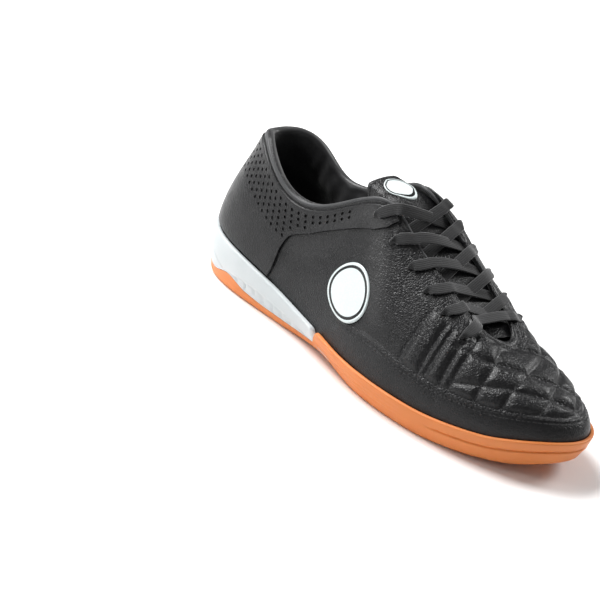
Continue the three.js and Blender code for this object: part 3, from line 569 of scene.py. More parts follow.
def ramp_node(tree, value, low, high, low_at=0.35, high_at=0.65):
    made = tree.nodes.new("ShaderNodeValToRGB")
    made.color_ramp.elements[0].position = low_at
    made.color_ramp.elements[0].color = (*low, 1)
    made.color_ramp.elements[1].position = high_at
    made.color_ramp.elements[1].color = (*high, 1)
    tree.links.new(value, made.inputs["Fac"])
    return made.outputs["Color"]


def range_node(tree, value, from_low, from_high, to_low, to_high):
    made = tree.nodes.new("ShaderNodeMapRange")
    for socket, number in zip(
        ("From Min", "From Max", "To Min", "To Max"), (from_low, from_high, to_low, to_high)
    ):
        made.inputs[socket].default_value = number
    tree.links.new(value, made.inputs["Value"])
    return made.outputs["Result"]


def bump_chain(tree, shader, layers):
    """Bumps on each other: rows of (height, strength, depth in metres)."""
    normal = None
    for height, strength, depth in layers:
        bump = node(tree, "ShaderNodeBump", Strength=strength, Distance=depth)
        tree.links.new(height, bump.inputs["Height"])
        if normal:
            tree.links.new(normal, bump.inputs["Normal"])
        normal = bump.outputs["Normal"]
    tree.links.new(normal, shader.inputs["Normal"])


def leather(name, grain=1.0, roughness=0.36):
    material, tree, shader = principled(
        name, COLOUR["leather"], roughness, Coat_Weight=0.16, Coat_Roughness=0.24, Specular_IOR_Level=0.3,
    )
    place = place_node(tree)
    wobble = noise_node(tree, place, 260, 2.0)
    shift = node(tree, "ShaderNodeVectorMath", operation="SCALE")
    tree.links.new(wobble.outputs["Color"], shift.inputs[0])
    shift.inputs["Scale"].default_value = 0.0016
    moved = node(tree, "ShaderNodeVectorMath", operation="ADD")
    tree.links.new(place, moved.inputs[0])
    tree.links.new(shift.outputs["Vector"], moved.inputs[1])
    pebbles = node(tree, "ShaderNodeTexVoronoi", feature="DISTANCE_TO_EDGE", Scale=680.0)
    tree.links.new(moved.outputs["Vector"], pebbles.inputs["Vector"])
    pebble_height = range_node(tree, pebbles.outputs["Distance"], 0, 0.28, 0, 1)
    fine = noise_node(tree, moved.outputs["Vector"], 2600, 2.0)
    broad = noise_node(tree, place, 38, 3.0)
    uneven = noise_node(tree, place, 150, 3.0)
    tree.links.new(
        ramp_node(tree, broad.outputs["Fac"], COLOUR["leather"], COLOUR["leather_worn"], 0.3, 0.85),
        shader.inputs["Base Color"],
    )
    tree.links.new(
        range_node(tree, uneven.outputs["Fac"], 0.3, 0.7, roughness - 0.06, roughness + 0.08),
        shader.inputs["Roughness"],
    )
    bump_chain(tree, shader, [
        (uneven.outputs["Fac"], 0.2, 0.0004),
        (pebble_height, 0.9 * grain, 0.00018),
        (fine.outputs["Fac"], 0.3 * grain, 0.00004),
    ])
    return material


def lining_material():
    material, tree, shader = principled(
        "lining", COLOUR["lining"], 0.44, Sheen_Weight=0.25, Sheen_Roughness=0.5,
    )
    place = place_node(tree)
    soft = noise_node(tree, place, 70, 3.0)
    fine = noise_node(tree, place, 2200, 2.0)
    bump_chain(tree, shader, [(soft.outputs["Fac"], 0.35, 0.0016), (fine.outputs["Fac"], 0.3, 0.00008)])
    return material


def grained(name, colour, roughness, noise_at, bump, ramp=None, stretch=(1, 1, 1), **sockets):
    """A material with one fine noise: (scale, detail), (bump strength, depth), and two colours or none."""
    material, tree, shader = principled(name, colour, roughness, **sockets)
    grain = noise_node(tree, place_node(tree, stretch), *noise_at).outputs["Fac"]
    if ramp:
        tree.links.new(ramp_node(tree, grain, *ramp), shader.inputs["Base Color"])
    bump_chain(tree, shader, [(grain, *bump)])
    return material


def foam_material():
    material, tree, shader = principled(
        "foam", COLOUR["foam"], 0.5, Subsurface_Weight=0.08, Subsurface_Radius=(0.004, 0.004, 0.004),
    )
    place = place_node(tree)
    fine = noise_node(tree, place, 1300, 3.0)
    broad = noise_node(tree, place, 45, 2.0)
    tree.links.new(
        ramp_node(tree, broad.outputs["Fac"], COLOUR["foam"], (0.60, 0.63, 0.64), 0.3, 0.7),
        shader.inputs["Base Color"],
    )
    bump_chain(tree, shader, [(fine.outputs["Fac"], 0.2, 0.0001)])
    return material


def gum_material():
    material, tree, shader = principled(
        "gum_rubber", COLOUR["gum"], 0.42, Specular_IOR_Level=0.4,
        Subsurface_Weight=0.12, Subsurface_Radius=(0.006, 0.002, 0.001),
    )
    place = place_node(tree)
    broad = noise_node(tree, place, 30, 3.0)
    fine = noise_node(tree, place, 900, 3.0)
    tree.links.new(
        ramp_node(tree, broad.outputs["Fac"], COLOUR["gum"], (0.74, 0.245, 0.070), 0.3, 0.7),
        shader.inputs["Base Color"],
    )
    tree.links.new(range_node(tree, fine.outputs["Fac"], 0.3, 0.7, 0.38, 0.5), shader.inputs["Roughness"])
    bump_chain(tree, shader, [(fine.outputs["Fac"], 0.15, 0.00012)])
    return material


MATERIAL = {
    "leather": leather("pebbled_leather"),
    "panel": leather("panel_leather", grain=0.8, roughness=0.36),
    "lining": lining_material(),
    "piping": grained("piping", COLOUR["piping"], 0.5, (1500, 3.0), (0.3, 0.0001), Sheen_Weight=0.3),
    "lace": grained(
        "lace_weave", COLOUR["lace"], 0.8, (1900, 3.0), (0.6, 0.0002),
        ((0.006, 0.006, 0.0065), (0.022, 0.022, 0.023)), Sheen_Weight=0.5, Sheen_Roughness=0.4,
    ),
    "thread": grained("thread", COLOUR["thread"], 0.6, (3000, 1.0), (0.4, 0.0001)),
    # Near-black matte colour, darker than the leather, for the walls and floors of holes: painted shade inside
    # the holes
    "hole": principled("hole_painted_shade", (0.003, 0.003, 0.003), 0.9)[0],
    "foam": foam_material(),
    "gum": gum_material(),
    "red": grained(
        "red_rubber", COLOUR["red"], 0.4, (700, 3.0), (0.2, 0.0001), (COLOUR["red"], (0.46, 0.095, 0.07)),
    ),
    "patch": grained(
        "patch_film", COLOUR["patch"], 0.36, (900, 2.0), (0.15, 0.0001),
        (COLOUR["patch"], (0.67, 0.73, 0.73)), Coat_Weight=0.3,
    ),
    "patch_dark": leather("patch_ground", grain=0.5),
    "insole": grained(
        "insole_cloth", COLOUR["insole"], 0.8, (1200, 2.0), (0.4, 0.0003), stretch=(1, 1, 0.2), Sheen_Weight=0.3,
    ),
}

# Camera and light

CAMERA_AZIMUTH = 35.96
CAMERA_ELEVATION = 27.05
CAMERA_ROLL = 15.79
CAMERA_DISTANCE = 1.457
CAMERA_AIM = (-0.0537, -0.0238, 0.0182)  # what the middle of the picture shows
FOCAL_PIXELS = 2427.5
PICTURE_PIXELS = 600
FLOOR_HALF = 4.0


def view_axes():
    """Right, up and back of the picture, in the shoe's frame."""
    a, e, r = (math.radians(x) for x in (CAMERA_AZIMUTH, CAMERA_ELEVATION, CAMERA_ROLL))
    back = Vector((math.sin(a) * math.cos(e), -math.cos(a) * math.cos(e), math.sin(e)))
    level = (-back).cross(Vector((0, 0, 1))).normalized()
    upright = level.cross(-back)
    return (
        level * math.cos(r) + upright * math.sin(r),
        upright * math.cos(r) - level * math.sin(r),
        back,
    )


def make_camera():
    right, up, back = view_axes()
    camera = bpy.data.objects.new("camera", bpy.data.cameras.new("camera"))
    bpy.context.scene.collection.objects.link(camera)
    camera.data.sensor_width = 36
    camera.data.lens = 36 * FOCAL_PIXELS / PICTURE_PIXELS
    camera.data.clip_end = 20
    turn = Matrix((right, up, back)).transposed()
    camera.matrix_world = Matrix.Translation(Vector(CAMERA_AIM) + back * CAMERA_DISTANCE) @ turn.to_4x4()
    bpy.context.scene.camera = camera


def area_light(name, place, size, power):
    """A soft lamp at (right, up, back) of the picture, turned to the shoe."""
    right, up, back = view_axes()
    lamp = bpy.data.objects.new(name, bpy.data.lights.new(name, "AREA"))
    bpy.context.scene.collection.objects.link(lamp)
    lamp.data.shape = "RECTANGLE"
    lamp.data.size, lamp.data.size_y = size
    lamp.data.energy = power
    at = right * place[0] + up * place[1] + back * place[2]
    at.z = max(at.z, 0.3)
    lamp.location = at
    lamp.rotation_mode = "QUATERNION"
    lamp.rotation_quaternion = at.to_track_quat("Z", "Y")


def make_light():
    world = bpy.data.worlds.new("studio")
    bpy.context.scene.world = world
    world.use_nodes = True
    world.node_tree.nodes["Background"].inputs["Color"].default_value = (1, 1, 1, 1)
    world.node_tree.nodes["Background"].inputs["Strength"].default_value = 0.2
    area_light("key_above", (-0.4, 1.5, 0.3), (0.9, 0.7), 35)
    area_light("side_front", (-1.3, 0.7, 0.7), (0.4, 0.9), 7)
    area_light("side_toe", (1.3, 0.9, -0.2), (0.6, 0.6), 12)
    bpy.context.scene.view_settings.view_transform = "Standard"
    bpy.context.scene.view_settings.look = "None"


def make_floor():
    mesh = bpy.data.meshes.new("floor")
    corners = [(x * FLOOR_HALF, y * FLOOR_HALF, 0) for x, y in ((-1, -1), (1, -1), (1, 1), (-1, 1))]
    mesh.from_pydata(corners, [], [(0, 1, 2, 3)])
    mesh.materials.append(principled("floor_card", COLOUR["floor"], 0.9)[0])
    floor = bpy.data.objects.new("floor", mesh)
    bpy.context.scene.collection.objects.link(floor)


def dress(piece, slot, *nodes):
    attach(piece, "root")
    if nodes:
        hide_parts(*nodes)
    return piece


# The upper's relief

# Seams and quilting lines, as (station, share) rows, read off the toe's outer half and top.
RIB_LINES = [
    [(6.26, 0.31), (6.40, 0.465), (6.59, 0.615), (6.82, 0.76)],
    [(6.68, 0.31), (6.85, 0.485), (7.10, 0.66), (7.22, 0.72)],
    [(6.79, 0.305), (6.98, 0.475), (7.18, 0.61), (7.34, 0.70)],
    [(7.10, 0.30), (7.26, 0.46), (7.50, 0.62), (7.62, 0.66)],
]
TOE_LINES = [
    [(7.24, 0.29), (7.51, 0.50), (7.80, 0.65), (8.10, 0.79)],
    [(7.76, 0.30), (7.96, 0.46), (8.49, 0.70), (9.10, 0.87), (9.70, 0.93)],
    [(8.25, 0.315), (8.65, 0.52), (9.45, 0.735), (10.26, 0.81), (11.09, 0.77), (12.10, 0.61), (12.81, 0.435),
     (13.1, 0.30)],
    [(9.01, 0.34), (9.50, 0.53), (10.15, 0.64), (10.90, 0.63), (11.79, 0.50), (12.45, 0.31)],
    [(9.83, 0.35), (10.35, 0.44), (10.79, 0.455), (11.43, 0.38), (11.90, 0.31)],
    [(12.05, 0.83), (12.26, 0.64), (12.31, 0.44), (12.2, 0.31)],
    [(10.0, 0.95), (10.46, 0.905), (10.88, 0.805), (11.23, 0.655), (11.46, 0.45), (11.46, 0.33)],
    [(7.42, 0.61), (7.84, 0.635), (8.10, 0.645), (8.46, 0.68), (8.95, 0.73), (9.45, 0.73), (10.15, 0.64),
     (10.72, 0.455), (10.90, 0.345)],
    [(7.30, 0.37), (7.70, 0.415), (8.14, 0.47), (8.65, 0.52), (9.50, 0.525), (10.10, 0.405), (10.3, 0.35)],
]
THROAT_SEAM = [
    (7.95, 0.76), (8.18, 0.80), (8.64, 0.855), (9.1, 0.915), (9.58, 0.945), (10.2, 0.95), (10.78, 0.93),
    (11.3, 0.87), (11.73, 0.815), (12.05, 0.76),
]
PILLOW_HEIGHT = 1.4
PILLOW_RUN = 2.8
STITCH_DIP = 0.5
SOFT_SIZE = 22
SOFT_DEPTH = 0.35


def mirrored(line):
    return [(STATIONS - u, v) for u, v in line]


PAD_LINES = RIB_LINES + [mirrored(line) for line in RIB_LINES] + TOE_LINES
STITCH_GAP = 3.1
STITCH_LENGTH = 2.3


def path_on_skin(line, spacing):
    rows = smooth_path(line, 24)
    return even_path(rows, skin_point(rows[:, 0], rows[:, 1]), spacing)


def line_tree(lines):
    points = np.vstack([skin_point(*path_on_skin(line, 0.7).T) for line in lines])
    tree = kdtree.KDTree(len(points))
    for i, point in enumerate(points):
        tree.insert(point, i)
    tree.balance()
    return tree


PAD_TREE = line_tree(PAD_LINES)
THROAT_TREE = line_tree([THROAT_SEAM])
rib_rear_curve = table_curve([(v, u) for u, v in RIB_LINES[0]])


def distance_to(tree, points):
    return np.array([tree.find(point)[2] for point in points.reshape(-1, 3)]).reshape(points.shape[:-1])


def upper_relief(u, v):
    """How far the leather stands off the skin."""
    u, v = np.broadcast_arrays(np.asarray(u, float), np.asarray(v, float))
    points = skin_point(u, v)
    length = side_length(u, np.clip(v, 0.02, 0.98))
    above_seam = (v - seam_at(u)) * length
    relief = step_at(u) * (1 - smooth(above_seam, -0.5, 0.6)) * smooth(v / seam_at(u), 0, 0.22)
    relief = relief - 0.35 * (step_at(u) / SEAM_STEP) * np.exp(-((above_seam + 2.4) / 0.9) ** 2)
    away = np.abs(from_heel(u))
    front = away > rib_rear_curve(v) - 0.2
    zone = front & (above_seam > -1)
    pad = np.zeros(u.shape)
    if zone.any():
        near = distance_to(PAD_TREE, points[zone])
        rise = PILLOW_HEIGHT * (1 - np.exp(-(near / PILLOW_RUN) ** 2))
        seam_fade = smooth(above_seam[zone], 0, 5)
        eyestay = smooth(np.minimum(v[zone], 1), 0.97, 0.90)
        side_top = mix(0.74, 1.2, smooth(away[zone], 7.6, 8.6))
        top_fade = 1 - smooth(v[zone], side_top - 0.07, side_top)
        rear_fade = smooth(away[zone] - rib_rear_curve(v[zone]), 0, 0.09)
        pad[zone] = rise * seam_fade * top_fade * rear_fade * eyestay
        pad[zone] -= STITCH_DIP * np.exp(-(near / 0.9) ** 2) * seam_fade * top_fade
        throat = distance_to(THROAT_TREE, points[zone])
        pad[zone] -= 0.55 * np.exp(-(throat / 1.1) ** 2)
    relief = relief + pad
    edge = (1 - v) * length
    relief = relief + 0.35 * np.exp(-((edge - 1.4) / 1.3) ** 2) - 0.3 * np.exp(-((edge - 3.6) / 0.7) ** 2)
    return relief


def soft_noise(points):
    """Slow unevenness, as hand-lasted leather has."""
    flat = points.reshape(-1, 3) / SOFT_SIZE
    return np.array([noise.noise(p) for p in flat]).reshape(points.shape[:-1]) * SOFT_DEPTH


# The upper


AROUND = 600


def upper_grid():
    us = np.arange(AROUND) / AROUND * STATIONS
    below = np.linspace(0, 1, 26)[:-1]
    above = np.linspace(0, 1, 66)
    rows = [t * seam_at(us) for t in below] + [mix(seam_at(us), 1, t) for t in above]
    return us, np.array(rows)


def hole_frames(rows):
    """Centre and directions of each lace hole on the skin."""
    holes = []
    for u, v in rows:
        along, up, out = (d[0] for d in skin_frame(np.array([u]), np.array([v])))
        lift = upper_relief(np.array([u]), np.array([v]))[0]
        centre = skin_point(np.array([u]), np.array([v]))[0]
        holes.append((centre + out * lift, along, up, out))
    return holes


def make_upper():
    us, vs = upper_grid()
    u_grid = np.broadcast_to(us, vs.shape)
    skin = Skin()
    outside = lifted(u_grid, vs, upper_relief(u_grid, vs) + soft_noise(skin_point(u_grid, vs)))
    outer = skin.add(outside)
    skin.net(outer, 0)
    along, up, out = skin_frame(us, 1.0)
    half = wall_at(us, 1.0)[:, None] / 2
    edge = skin_point(us, 1.0)
    lip = upper_relief(us, np.ones(AROUND))[:, None]
    rim = []
    for turn in np.radians([25, 50, 75, 100, 125, 150]):
        fade = math.cos(turn / 2) ** 2
        outward = half * (math.cos(turn) - 1) + lip * fade
        rim.append(skin.add(edge + out * outward + up * half * math.sin(turn)))
    skin.net([outer[-1], *rim[:3]], 0)
    skin.net(rim[2:], 1)
    inner_vs = np.linspace(0.99, 0, 44)
    inner_u, inner_v = np.meshgrid(us, inner_vs)
    depth = wall_at(inner_u, inner_v)
    inner = skin.add(lifted(inner_u, inner_v, lining_relief(inner_u, inner_v) - depth))
    skin.net([rim[-1], *inner], 1)
    skin.bridge(inner[-1], outer[0], 1)
    sides = 20
    for centre, along, up, out in hole_frames(EYELETS["outer"] + EYELETS["inner"]):
        ring = skin.open_hole(centre, along, up, EYELET_RADIUS, sides, 1.3, 1, 0)
        inside = skin.open_hole(centre - out * WALL, along, up, EYELET_RADIUS, sides, 1.3, -1, 1)
        start = np.arctan2((skin.points[ring[0]] - centre) @ up, (skin.points[ring[0]] - centre) @ along)
        turns = np.arctan2((skin.points[inside] - centre) @ up, (skin.points[inside] - centre) @ along)
        shift = int(np.argmin(np.abs(np.angle(np.exp(1j * (turns - start))))))
        # The eyelet's wall takes the near-black hole material: painted shade inside the lace hole
        skin.bridge(ring, np.roll(inside, -shift), 2)
    piece = skin.build("upper_leather", [MATERIAL["leather"], MATERIAL["lining"], MATERIAL["hole"]], 60)
    return dress(piece, "upper", "upper")


def lining_relief(u, v):
    """Soft wrinkles of the padded collar's lining, positive toward the wall."""
    away = np.abs(from_heel(u))
    collar = smooth(v, 0.55, 0.8) * (1 - smooth(away, 4.2, 4.9))
    ripple = np.sin(u * 9.5 + 2.2 * np.sin(v * 9)) * 0.35 + np.sin(u * 17 + v * 14) * 0.18
    return collar * ripple * smooth(away, 0.8, 2.6)


def make_piping():
    """The rolled edge round the collar, running out along both sides of the throat."""
    us = np.linspace(-6.4, 6.4, 420)
    along, up, out = skin_frame(us, 1.0)
    collar = (1 - smooth(np.abs(us), 4.9, 5.5))[:, None]
    half = wall_at(us, 1.0)[:, None] / 2
    path = skin_point(us, 1.0) - out * mix(0.5, 0.75, collar) + up * mix(0.15, 0.5, collar)
    radius = mix(0.75, 1.35, collar[:, 0])
    sides = 12
    turns = np.arange(sides) * 2 * math.pi / sides
    ring = np.column_stack([np.cos(turns), np.sin(turns)])

    def profile(steps):
        return ring[None] * radius[steps][:, None, None]

    skin = Skin()
    ups = unit(up + out)
    sweep(skin, path, ups, profile)
    return dress(skin.build("collar_piping", [MATERIAL["piping"]], 0), "upper")


def lip_share(away):
    """Share of the side's curve where the sole's lip ends."""
    return share_at_height(away, bite_at(away))


def make_panel():
    """Heel panel with its punched rows along the collar."""
    columns = 470
    low_rows = np.linspace(0, 0.4, 34)[:-1]
    high_rows = np.linspace(0.4, 1, 46)
    band = 24

    def share(u, r):
        edge = np.maximum(panel_edge(np.abs(u)), lip_share(np.abs(u))) + 0.02
        middle = np.maximum(edge + 0.002, depth_from_edge(u[0], band)[None, :])
        low = mix(edge, middle, np.clip(r / 0.4, 0, 1))
        return mix(low, 0.972, np.clip((r - 0.4) / 0.6, 0, 1))

    def point_at(c, r, level):
        u = (c - 0.5) * 2 * PANEL_END
        v = share(u, r)
        side = 2 * PANEL_END * 26
        rim = np.minimum(np.minimum(r / 0.03, (1 - r) / 0.03), np.minimum(c, 1 - c) * side)
        rounding = np.sqrt(np.clip(1 - (1 - np.clip(rim, 0, 1)) ** 2, 0, 1))
        lift = 0.15 + level * (PANEL_LIFT + PANEL_THICKNESS - 0.15) * mix(0.35, 1, rounding)
        return lifted(u, v, lift + soft_noise(skin_point(u, v)) * level)

    skin = Skin()
    sheet(skin, columns, np.concatenate([low_rows, high_rows]), point_at)
    for centre, along, up, out in perforations():
        ring = skin.open_hole(centre, along, up, PERFORATION_RADIUS, 10, 0.5)
        bottom = skin.add(skin.points[ring] - out * PERFORATION_DEPTH)
        # The perforation's wall and floor take the near-black hole material: painted shade inside each hole
        skin.bridge(ring, bottom, 1)
        skin.fan(bottom, skin.add(skin.points[bottom].mean(0)), 1)
    piece = skin.build("heel_panel_leather", [MATERIAL["panel"], MATERIAL["hole"]], 50)
    return dress(piece, "upper", "heel_panel")


HOLE_ROWS = 6
HOLE_PITCH = 5.3
HOLE_ROW_GAP = 3.5
HOLE_FROM_EDGE = 6.2
HOLE_END = 4.5
PERFORATION_RADIUS = 1.0
PERFORATION_DEPTH = 0.75


def perforations():
    """Staggered rows of small holes under the collar's edge, all round the heel."""
    lift = PANEL_LIFT + PANEL_THICKNESS
    found = []
    for row in range(HOLE_ROWS):
        us = np.linspace(-HOLE_END - 0.3, HOLE_END + 0.3, 800)
        vs = depth_from_edge(us, HOLE_FROM_EDGE + row * HOLE_ROW_GAP)
        rows = np.column_stack([us, vs])
        gone = np.concatenate([[0], np.cumsum(np.linalg.norm(np.diff(skin_point(us, vs), axis=0), axis=1))])
        middle = np.interp(0, us, gone)
        steps = np.arange(-80, 81) + 0.5 * (row % 2)
        at = middle + steps * HOLE_PITCH
        at = at[(at > 0) & (at < gone[-1])]
        for u, v in np.column_stack([np.interp(at, gone, rows[:, k]) for k in range(2)]):
            end = HOLE_END - 0.09 * (row % 2) + 0.07 * row
            if abs(u) > end or v < panel_edge(abs(u)) + 0.075:
                continue
            u, v = np.array([u]), np.array([v])
            along, up, out = (d[0] for d in skin_frame(u, v))
            noise_lift = soft_noise(skin_point(u, v))[0]
            found.append((skin_point(u, v)[0] + out * (lift + noise_lift), along, up, out))
    return found


def make_stitches():
    skin = Skin()

    def sew(line, radius, lift=0.0):
        rows = path_on_skin(line, STITCH_GAP)
        u, v = rows[:, 0], rows[:, 1]
        points = skin_point(u, v)
        out = skin_frame(u, v)[2]
        points = points + out * (upper_relief(u, v) + soft_noise(points) + lift)[:, None]
        along = unit(np.gradient(points, axis=0))
        up = unit(out - along * (out * along).sum(-1, keepdims=True))
        capsules(skin, points, along, up, STITCH_LENGTH, radius)

    for drop in (1.4, 3.6):
        line = []
        for u in np.linspace(5.0, 15.0, 41):
            length = side_length(np.array(u), np.array(0.3))
            line.append((u, float(seam_at(np.array(u)) - drop / length)))
        sew(line, 0.32, -0.05)
    for line in TOE_LINES:
        sew(line, 0.26)
    for line in RIB_LINES:
        sew(line, 0.22)
        sew(mirrored(line), 0.22)
    sew(THROAT_SEAM, 0.28, 0.05)
    inner_edge = []
    for u in np.linspace(5.5, 14.5, 91):
        inner_edge.append((u, float(depth_from_edge(np.array(u), 3.6))))
    sew(inner_edge, 0.26)
    return dress(skin.build("seam_thread", [MATERIAL["thread"]], 0), "upper")


# Tongue


def over_throat(a, b, outer, inner, bend, s):
    """A curve over the throat between two points near its edges, square to the throat."""
    chord = b - a
    _, up_a, out_a = skin_frame(outer, 1.0)
    _, up_b, out_b = skin_frame(inner, 1.0)
    ahead = unit(np.cross(chord, out_a + out_b))
    span = np.linalg.norm(chord, axis=-1, keepdims=True) * bend

    def slope(up):
        return unit(up - ahead * (up * ahead).sum(-1, keepdims=True)) * span

    return hermite(a, b, slope(up_a), -slope(up_b), s)


def tongue_arch(t, w, lift):
    """The tongue's upper face at a share t of the throat, over shares w of its width."""
    outer = mix(THROAT_BASE, THROAT_OUTER, t)
    inner = mix(THROAT_BASE, THROAT_INNER, t)
    drop = WALL + TONGUE["clear"]
    under = TONGUE["under"]

    def side(u, share):
        v = mix(depth_from_edge(u, TONGUE["underlap"]), 1, share)
        return lifted(u, v, -drop - lift)

    a, b = side(outer, np.ones_like(w)), side(inner, np.ones_like(w))
    s = np.clip((w - under) / (1 - 2 * under), 0, 1)[..., None]
    middle = over_throat(a, b, outer, inner, TONGUE["arch"], s)
    left = side(outer, np.clip(w / under, 0, 1))
    right = side(inner, np.clip((1 - w) / under, 0, 1))
    w = w[..., None]
    return np.where(w <= under, left, np.where(w >= 1 - under, right, middle))


def tongue_level(w, t, lift):
    """A point of the tongue, a depth below its upper face."""
    w, t, lift = np.broadcast_arrays(np.asarray(w, float), np.asarray(t, float), np.asarray(lift, float))
    free = TONGUE["free_share"]
    along = mix(TONGUE["root"], 1 + free, t)
    covered = tongue_arch(np.minimum(along, 1), w, lift)
    share = np.clip((along - 1) / free, 0, 1)
    one, centre = np.ones_like(w), np.full_like(w, 0.5)
    last = tongue_arch(one, w, lift)
    middle = tongue_arch(one, centre, lift)
    heading = unit(tongue_arch(one, centre, 0 * w) - tongue_arch(0.86 * one, centre, 0 * w))
    heading = unit(heading + np.array([-TONGUE["lean"], 0, -0.3 * TONGUE["lean"]]))
    width = np.linalg.norm(last - middle, axis=-1)
    spread = (TONGUE["spread"] * share / (width + 1))[..., None]
    corner = TONGUE["round"] * share * share * (2 * w - 1) ** 4
    freed = mix(last, middle, -spread) + heading * (share * TONGUE["free"] - corner)[..., None]
    return np.where((along <= 1)[..., None], covered, freed)


def make_tongue():
    skin = Skin()
    rows = np.linspace(0, 1, 76)

    def point_at(c, r, level):
        edge = np.minimum(np.minimum(c, 1 - c) * 64, (1 - r) * 90)
        body = np.sqrt(np.clip(1 - (1 - np.clip(edge / 2.2, 0, 1)) ** 2, 0, 1))
        seam = np.exp(-((edge - 5.5) / 0.9) ** 2) * 0.5
        depth = TONGUE["thickness"] * (0.5 - (level - 0.5) * body)
        crease = 0.25 * np.sin(r * 40 + 3 * np.sin(c * 5)) * smooth(r, 0.6, 0.75) * (1 - smooth(r, 0.8, 0.9))
        return tongue_level(c, r, depth + (seam + crease) * level)

    sheet(skin, 64, rows, point_at, 0, 1)
    piece = skin.build("tongue_padded", [MATERIAL["leather"], MATERIAL["lining"]], 60)
    return dress(piece, "upper", "tongue")


# Patches


def disc_skin(point_at, radius, rings, sides, thickness):
    """A round patch with a sunk ring near its edge. point_at(x, y, lift) places it."""
    skin = Skin()
    shares = np.linspace(0, 1, rings + 1)[1:]
    turns = np.arange(sides) * 2 * math.pi / sides
    groove = np.exp(-((shares - 0.86) / 0.035) ** 2)
    crown = np.sqrt(np.clip(1 - np.clip((shares - 0.94) / 0.06, 0, 1) ** 2, 0, 1))
    lift = thickness * mix(0.2, 1, crown) - 0.35 * thickness * groove
    x = radius * shares[:, None] * np.cos(turns)
    y = radius * shares[:, None] * np.sin(turns)
    over = skin.add(point_at(x, y, np.broadcast_to(lift[:, None], x.shape)))
    under = skin.add(point_at(x[-1], y[-1], np.zeros(sides)))
    middle = skin.add(point_at(np.zeros(1), np.zeros(1), np.array([thickness])))
    low = skin.add(point_at(np.zeros(1), np.zeros(1), np.array([0.0])))
    skin.fan(over[0], middle[0])
    for k in range(rings - 1):
        dark = 0.80 <= shares[k] < 0.90
        skin.bridge(over[k + 1], over[k], 1 if dark else 0)
    skin.bridge(under, over[-1])
    skin.fan(under[::-1], low[0])
    return skin


def make_patches():
    u0, v0 = PATCH_AT
    u_length = np.linalg.norm(skin_point(u0 + 0.1, v0) - skin_point(u0 - 0.1, v0)) / 0.2
    v_length = np.linalg.norm(skin_point(u0, v0 + 0.02) - skin_point(u0, v0 - 0.02)) / 0.04

    def on_side(x, y, lift):
        u, v = u0 + x / u_length, v0 + y / v_length
        seam = seam_at(u)
        over = step_at(u) * (1 - smooth(v, seam + 0.02, seam + 0.12))
        return lifted(u, v, over + 0.25 + lift)

    piece = disc_skin(on_side, PATCH_RADIUS, 40, 96, PATCH_THICKNESS).build(
        "side_patch", [MATERIAL["patch"], MATERIAL["patch_dark"]]
    )
    dress(piece, "patch", "side_patch_outer")
    w0, t0 = TONGUE_PATCH_AT
    centre = tongue_level(w0, t0, 0.0)
    w_length = np.linalg.norm(tongue_level(w0 + 0.02, t0, 0.0) - centre) / 0.02
    t_length = np.linalg.norm(tongue_level(w0, t0 + 0.02, 0.0) - centre) / 0.02

    def on_tongue(x, y, lift):
        return tongue_level(w0 + x / w_length, t0 + y / t_length, -0.05 - lift)

    piece = disc_skin(on_tongue, TONGUE_PATCH_RADIUS, 40, 72, PATCH_THICKNESS).build(
        "tongue_badge_plain", [MATERIAL["patch"], MATERIAL["patch_dark"]]
    )
    dress(piece, "patch", "tongue_patch")


# Laces

LACE_LIFT = 0.35
OUTER_RISE = 1.5
INNER_RISE = 0.1
BAR_RISE = 1.6
PINCH = 0.6  # share of its width that the lace keeps in a hole


def place_on(u, v, lift):
    """A point over the leather there, with the directions up the side and outward."""
    u, v = np.array([float(u)]), np.array([float(v)])
    _, up, out = skin_frame(u, v)
    panel = PANEL_LIFT + PANEL_THICKNESS if abs(float(from_heel(u)[0])) < PANEL_END else 0
    lift = lift + (max(panel, float(upper_relief(u, v)[0])) if lift > 0 else 0)
    return skin_point(u, v)[0] + out[0] * lift, up[0], out[0]


def edge_station(hole, other):
    """Station where a straight line from one hole to another passes the throat's edge."""
    (u, v), (ou, ov) = hole, other
    start = skin_point(np.array(u), np.array(v))
    run = unit(skin_point(np.array(ou), np.array(ov)) - start)
    stations = u + np.linspace(-1, 1, 201)
    away = np.linalg.norm(np.cross(skin_point(stations, 1.0) - start, run), axis=-1)
    return float(stations[away.argmin()])


def out_of_hole(hole, edge, sign):
    """From inside a hole, through it, and over the leather to the throat's edge: rows of point, up, width."""
    u, v = hole
    rest = LACE_LIFT + LACE_THICKNESS / 2
    inside, up, out = place_on(u, v, -WALL - 1.4)
    mouth, _, _ = place_on(u, v, 0.01)
    rows = [(inside - up * 1.2, -sign * unit(out + 0.4 * up), 0.7), (mouth - up * 0.2, -sign * up, PINCH)]
    for t, width, lift in ((0.15, 0.86, 0.3), (0.34, 1, 0.15), (0.68, 1, 0.05), (1, 1, 0.2)):
        at, _, normal = place_on(mix(u, edge, t), mix(v, 1, t), rest + lift)
        rows.append((at, sign * normal, width))
    return rows


def throat_rows(ends, stations, outs, rise, sign):
    """Rows of a strap between the throat's two edges."""
    rows = []
    for s in np.arange(1, 8) / 8:
        normal = unit(mix(*outs, s))
        at = over_throat(*ends, *stations, LACE_ARCH, s)
        rows.append((at + normal * rise * math.sin(math.pi * s), sign * normal, 1))
    return rows


def lace_leg(side, row, sign):
    """One crossing: out of a hole, over its edge, under the other edge, and inside to the next row's hole."""
    other = "inner" if side == "outer" else "outer"
    hole, target = EYELETS[side][row], EYELETS[other][row + 1]
    edge, far_edge = edge_station(hole, target), edge_station(target, hole)
    rows = out_of_hole(hole, edge, sign)
    tuck, _, tuck_out = place_on(far_edge, 0.995, -WALL - 0.75)
    beyond, _, beyond_out = place_on(mix(far_edge, target[0], 0.6), mix(1, target[1], 0.6), -WALL - 0.9)
    rise = OUTER_RISE if side == "outer" else INNER_RISE
    start, start_up, _ = rows[-1]
    rows += throat_rows((start, tuck), (edge, far_edge), (sign * start_up, tuck_out), rise, sign)
    return rows + [(tuck, sign * tuck_out, 1), (beyond, sign * beyond_out, 0.85)]


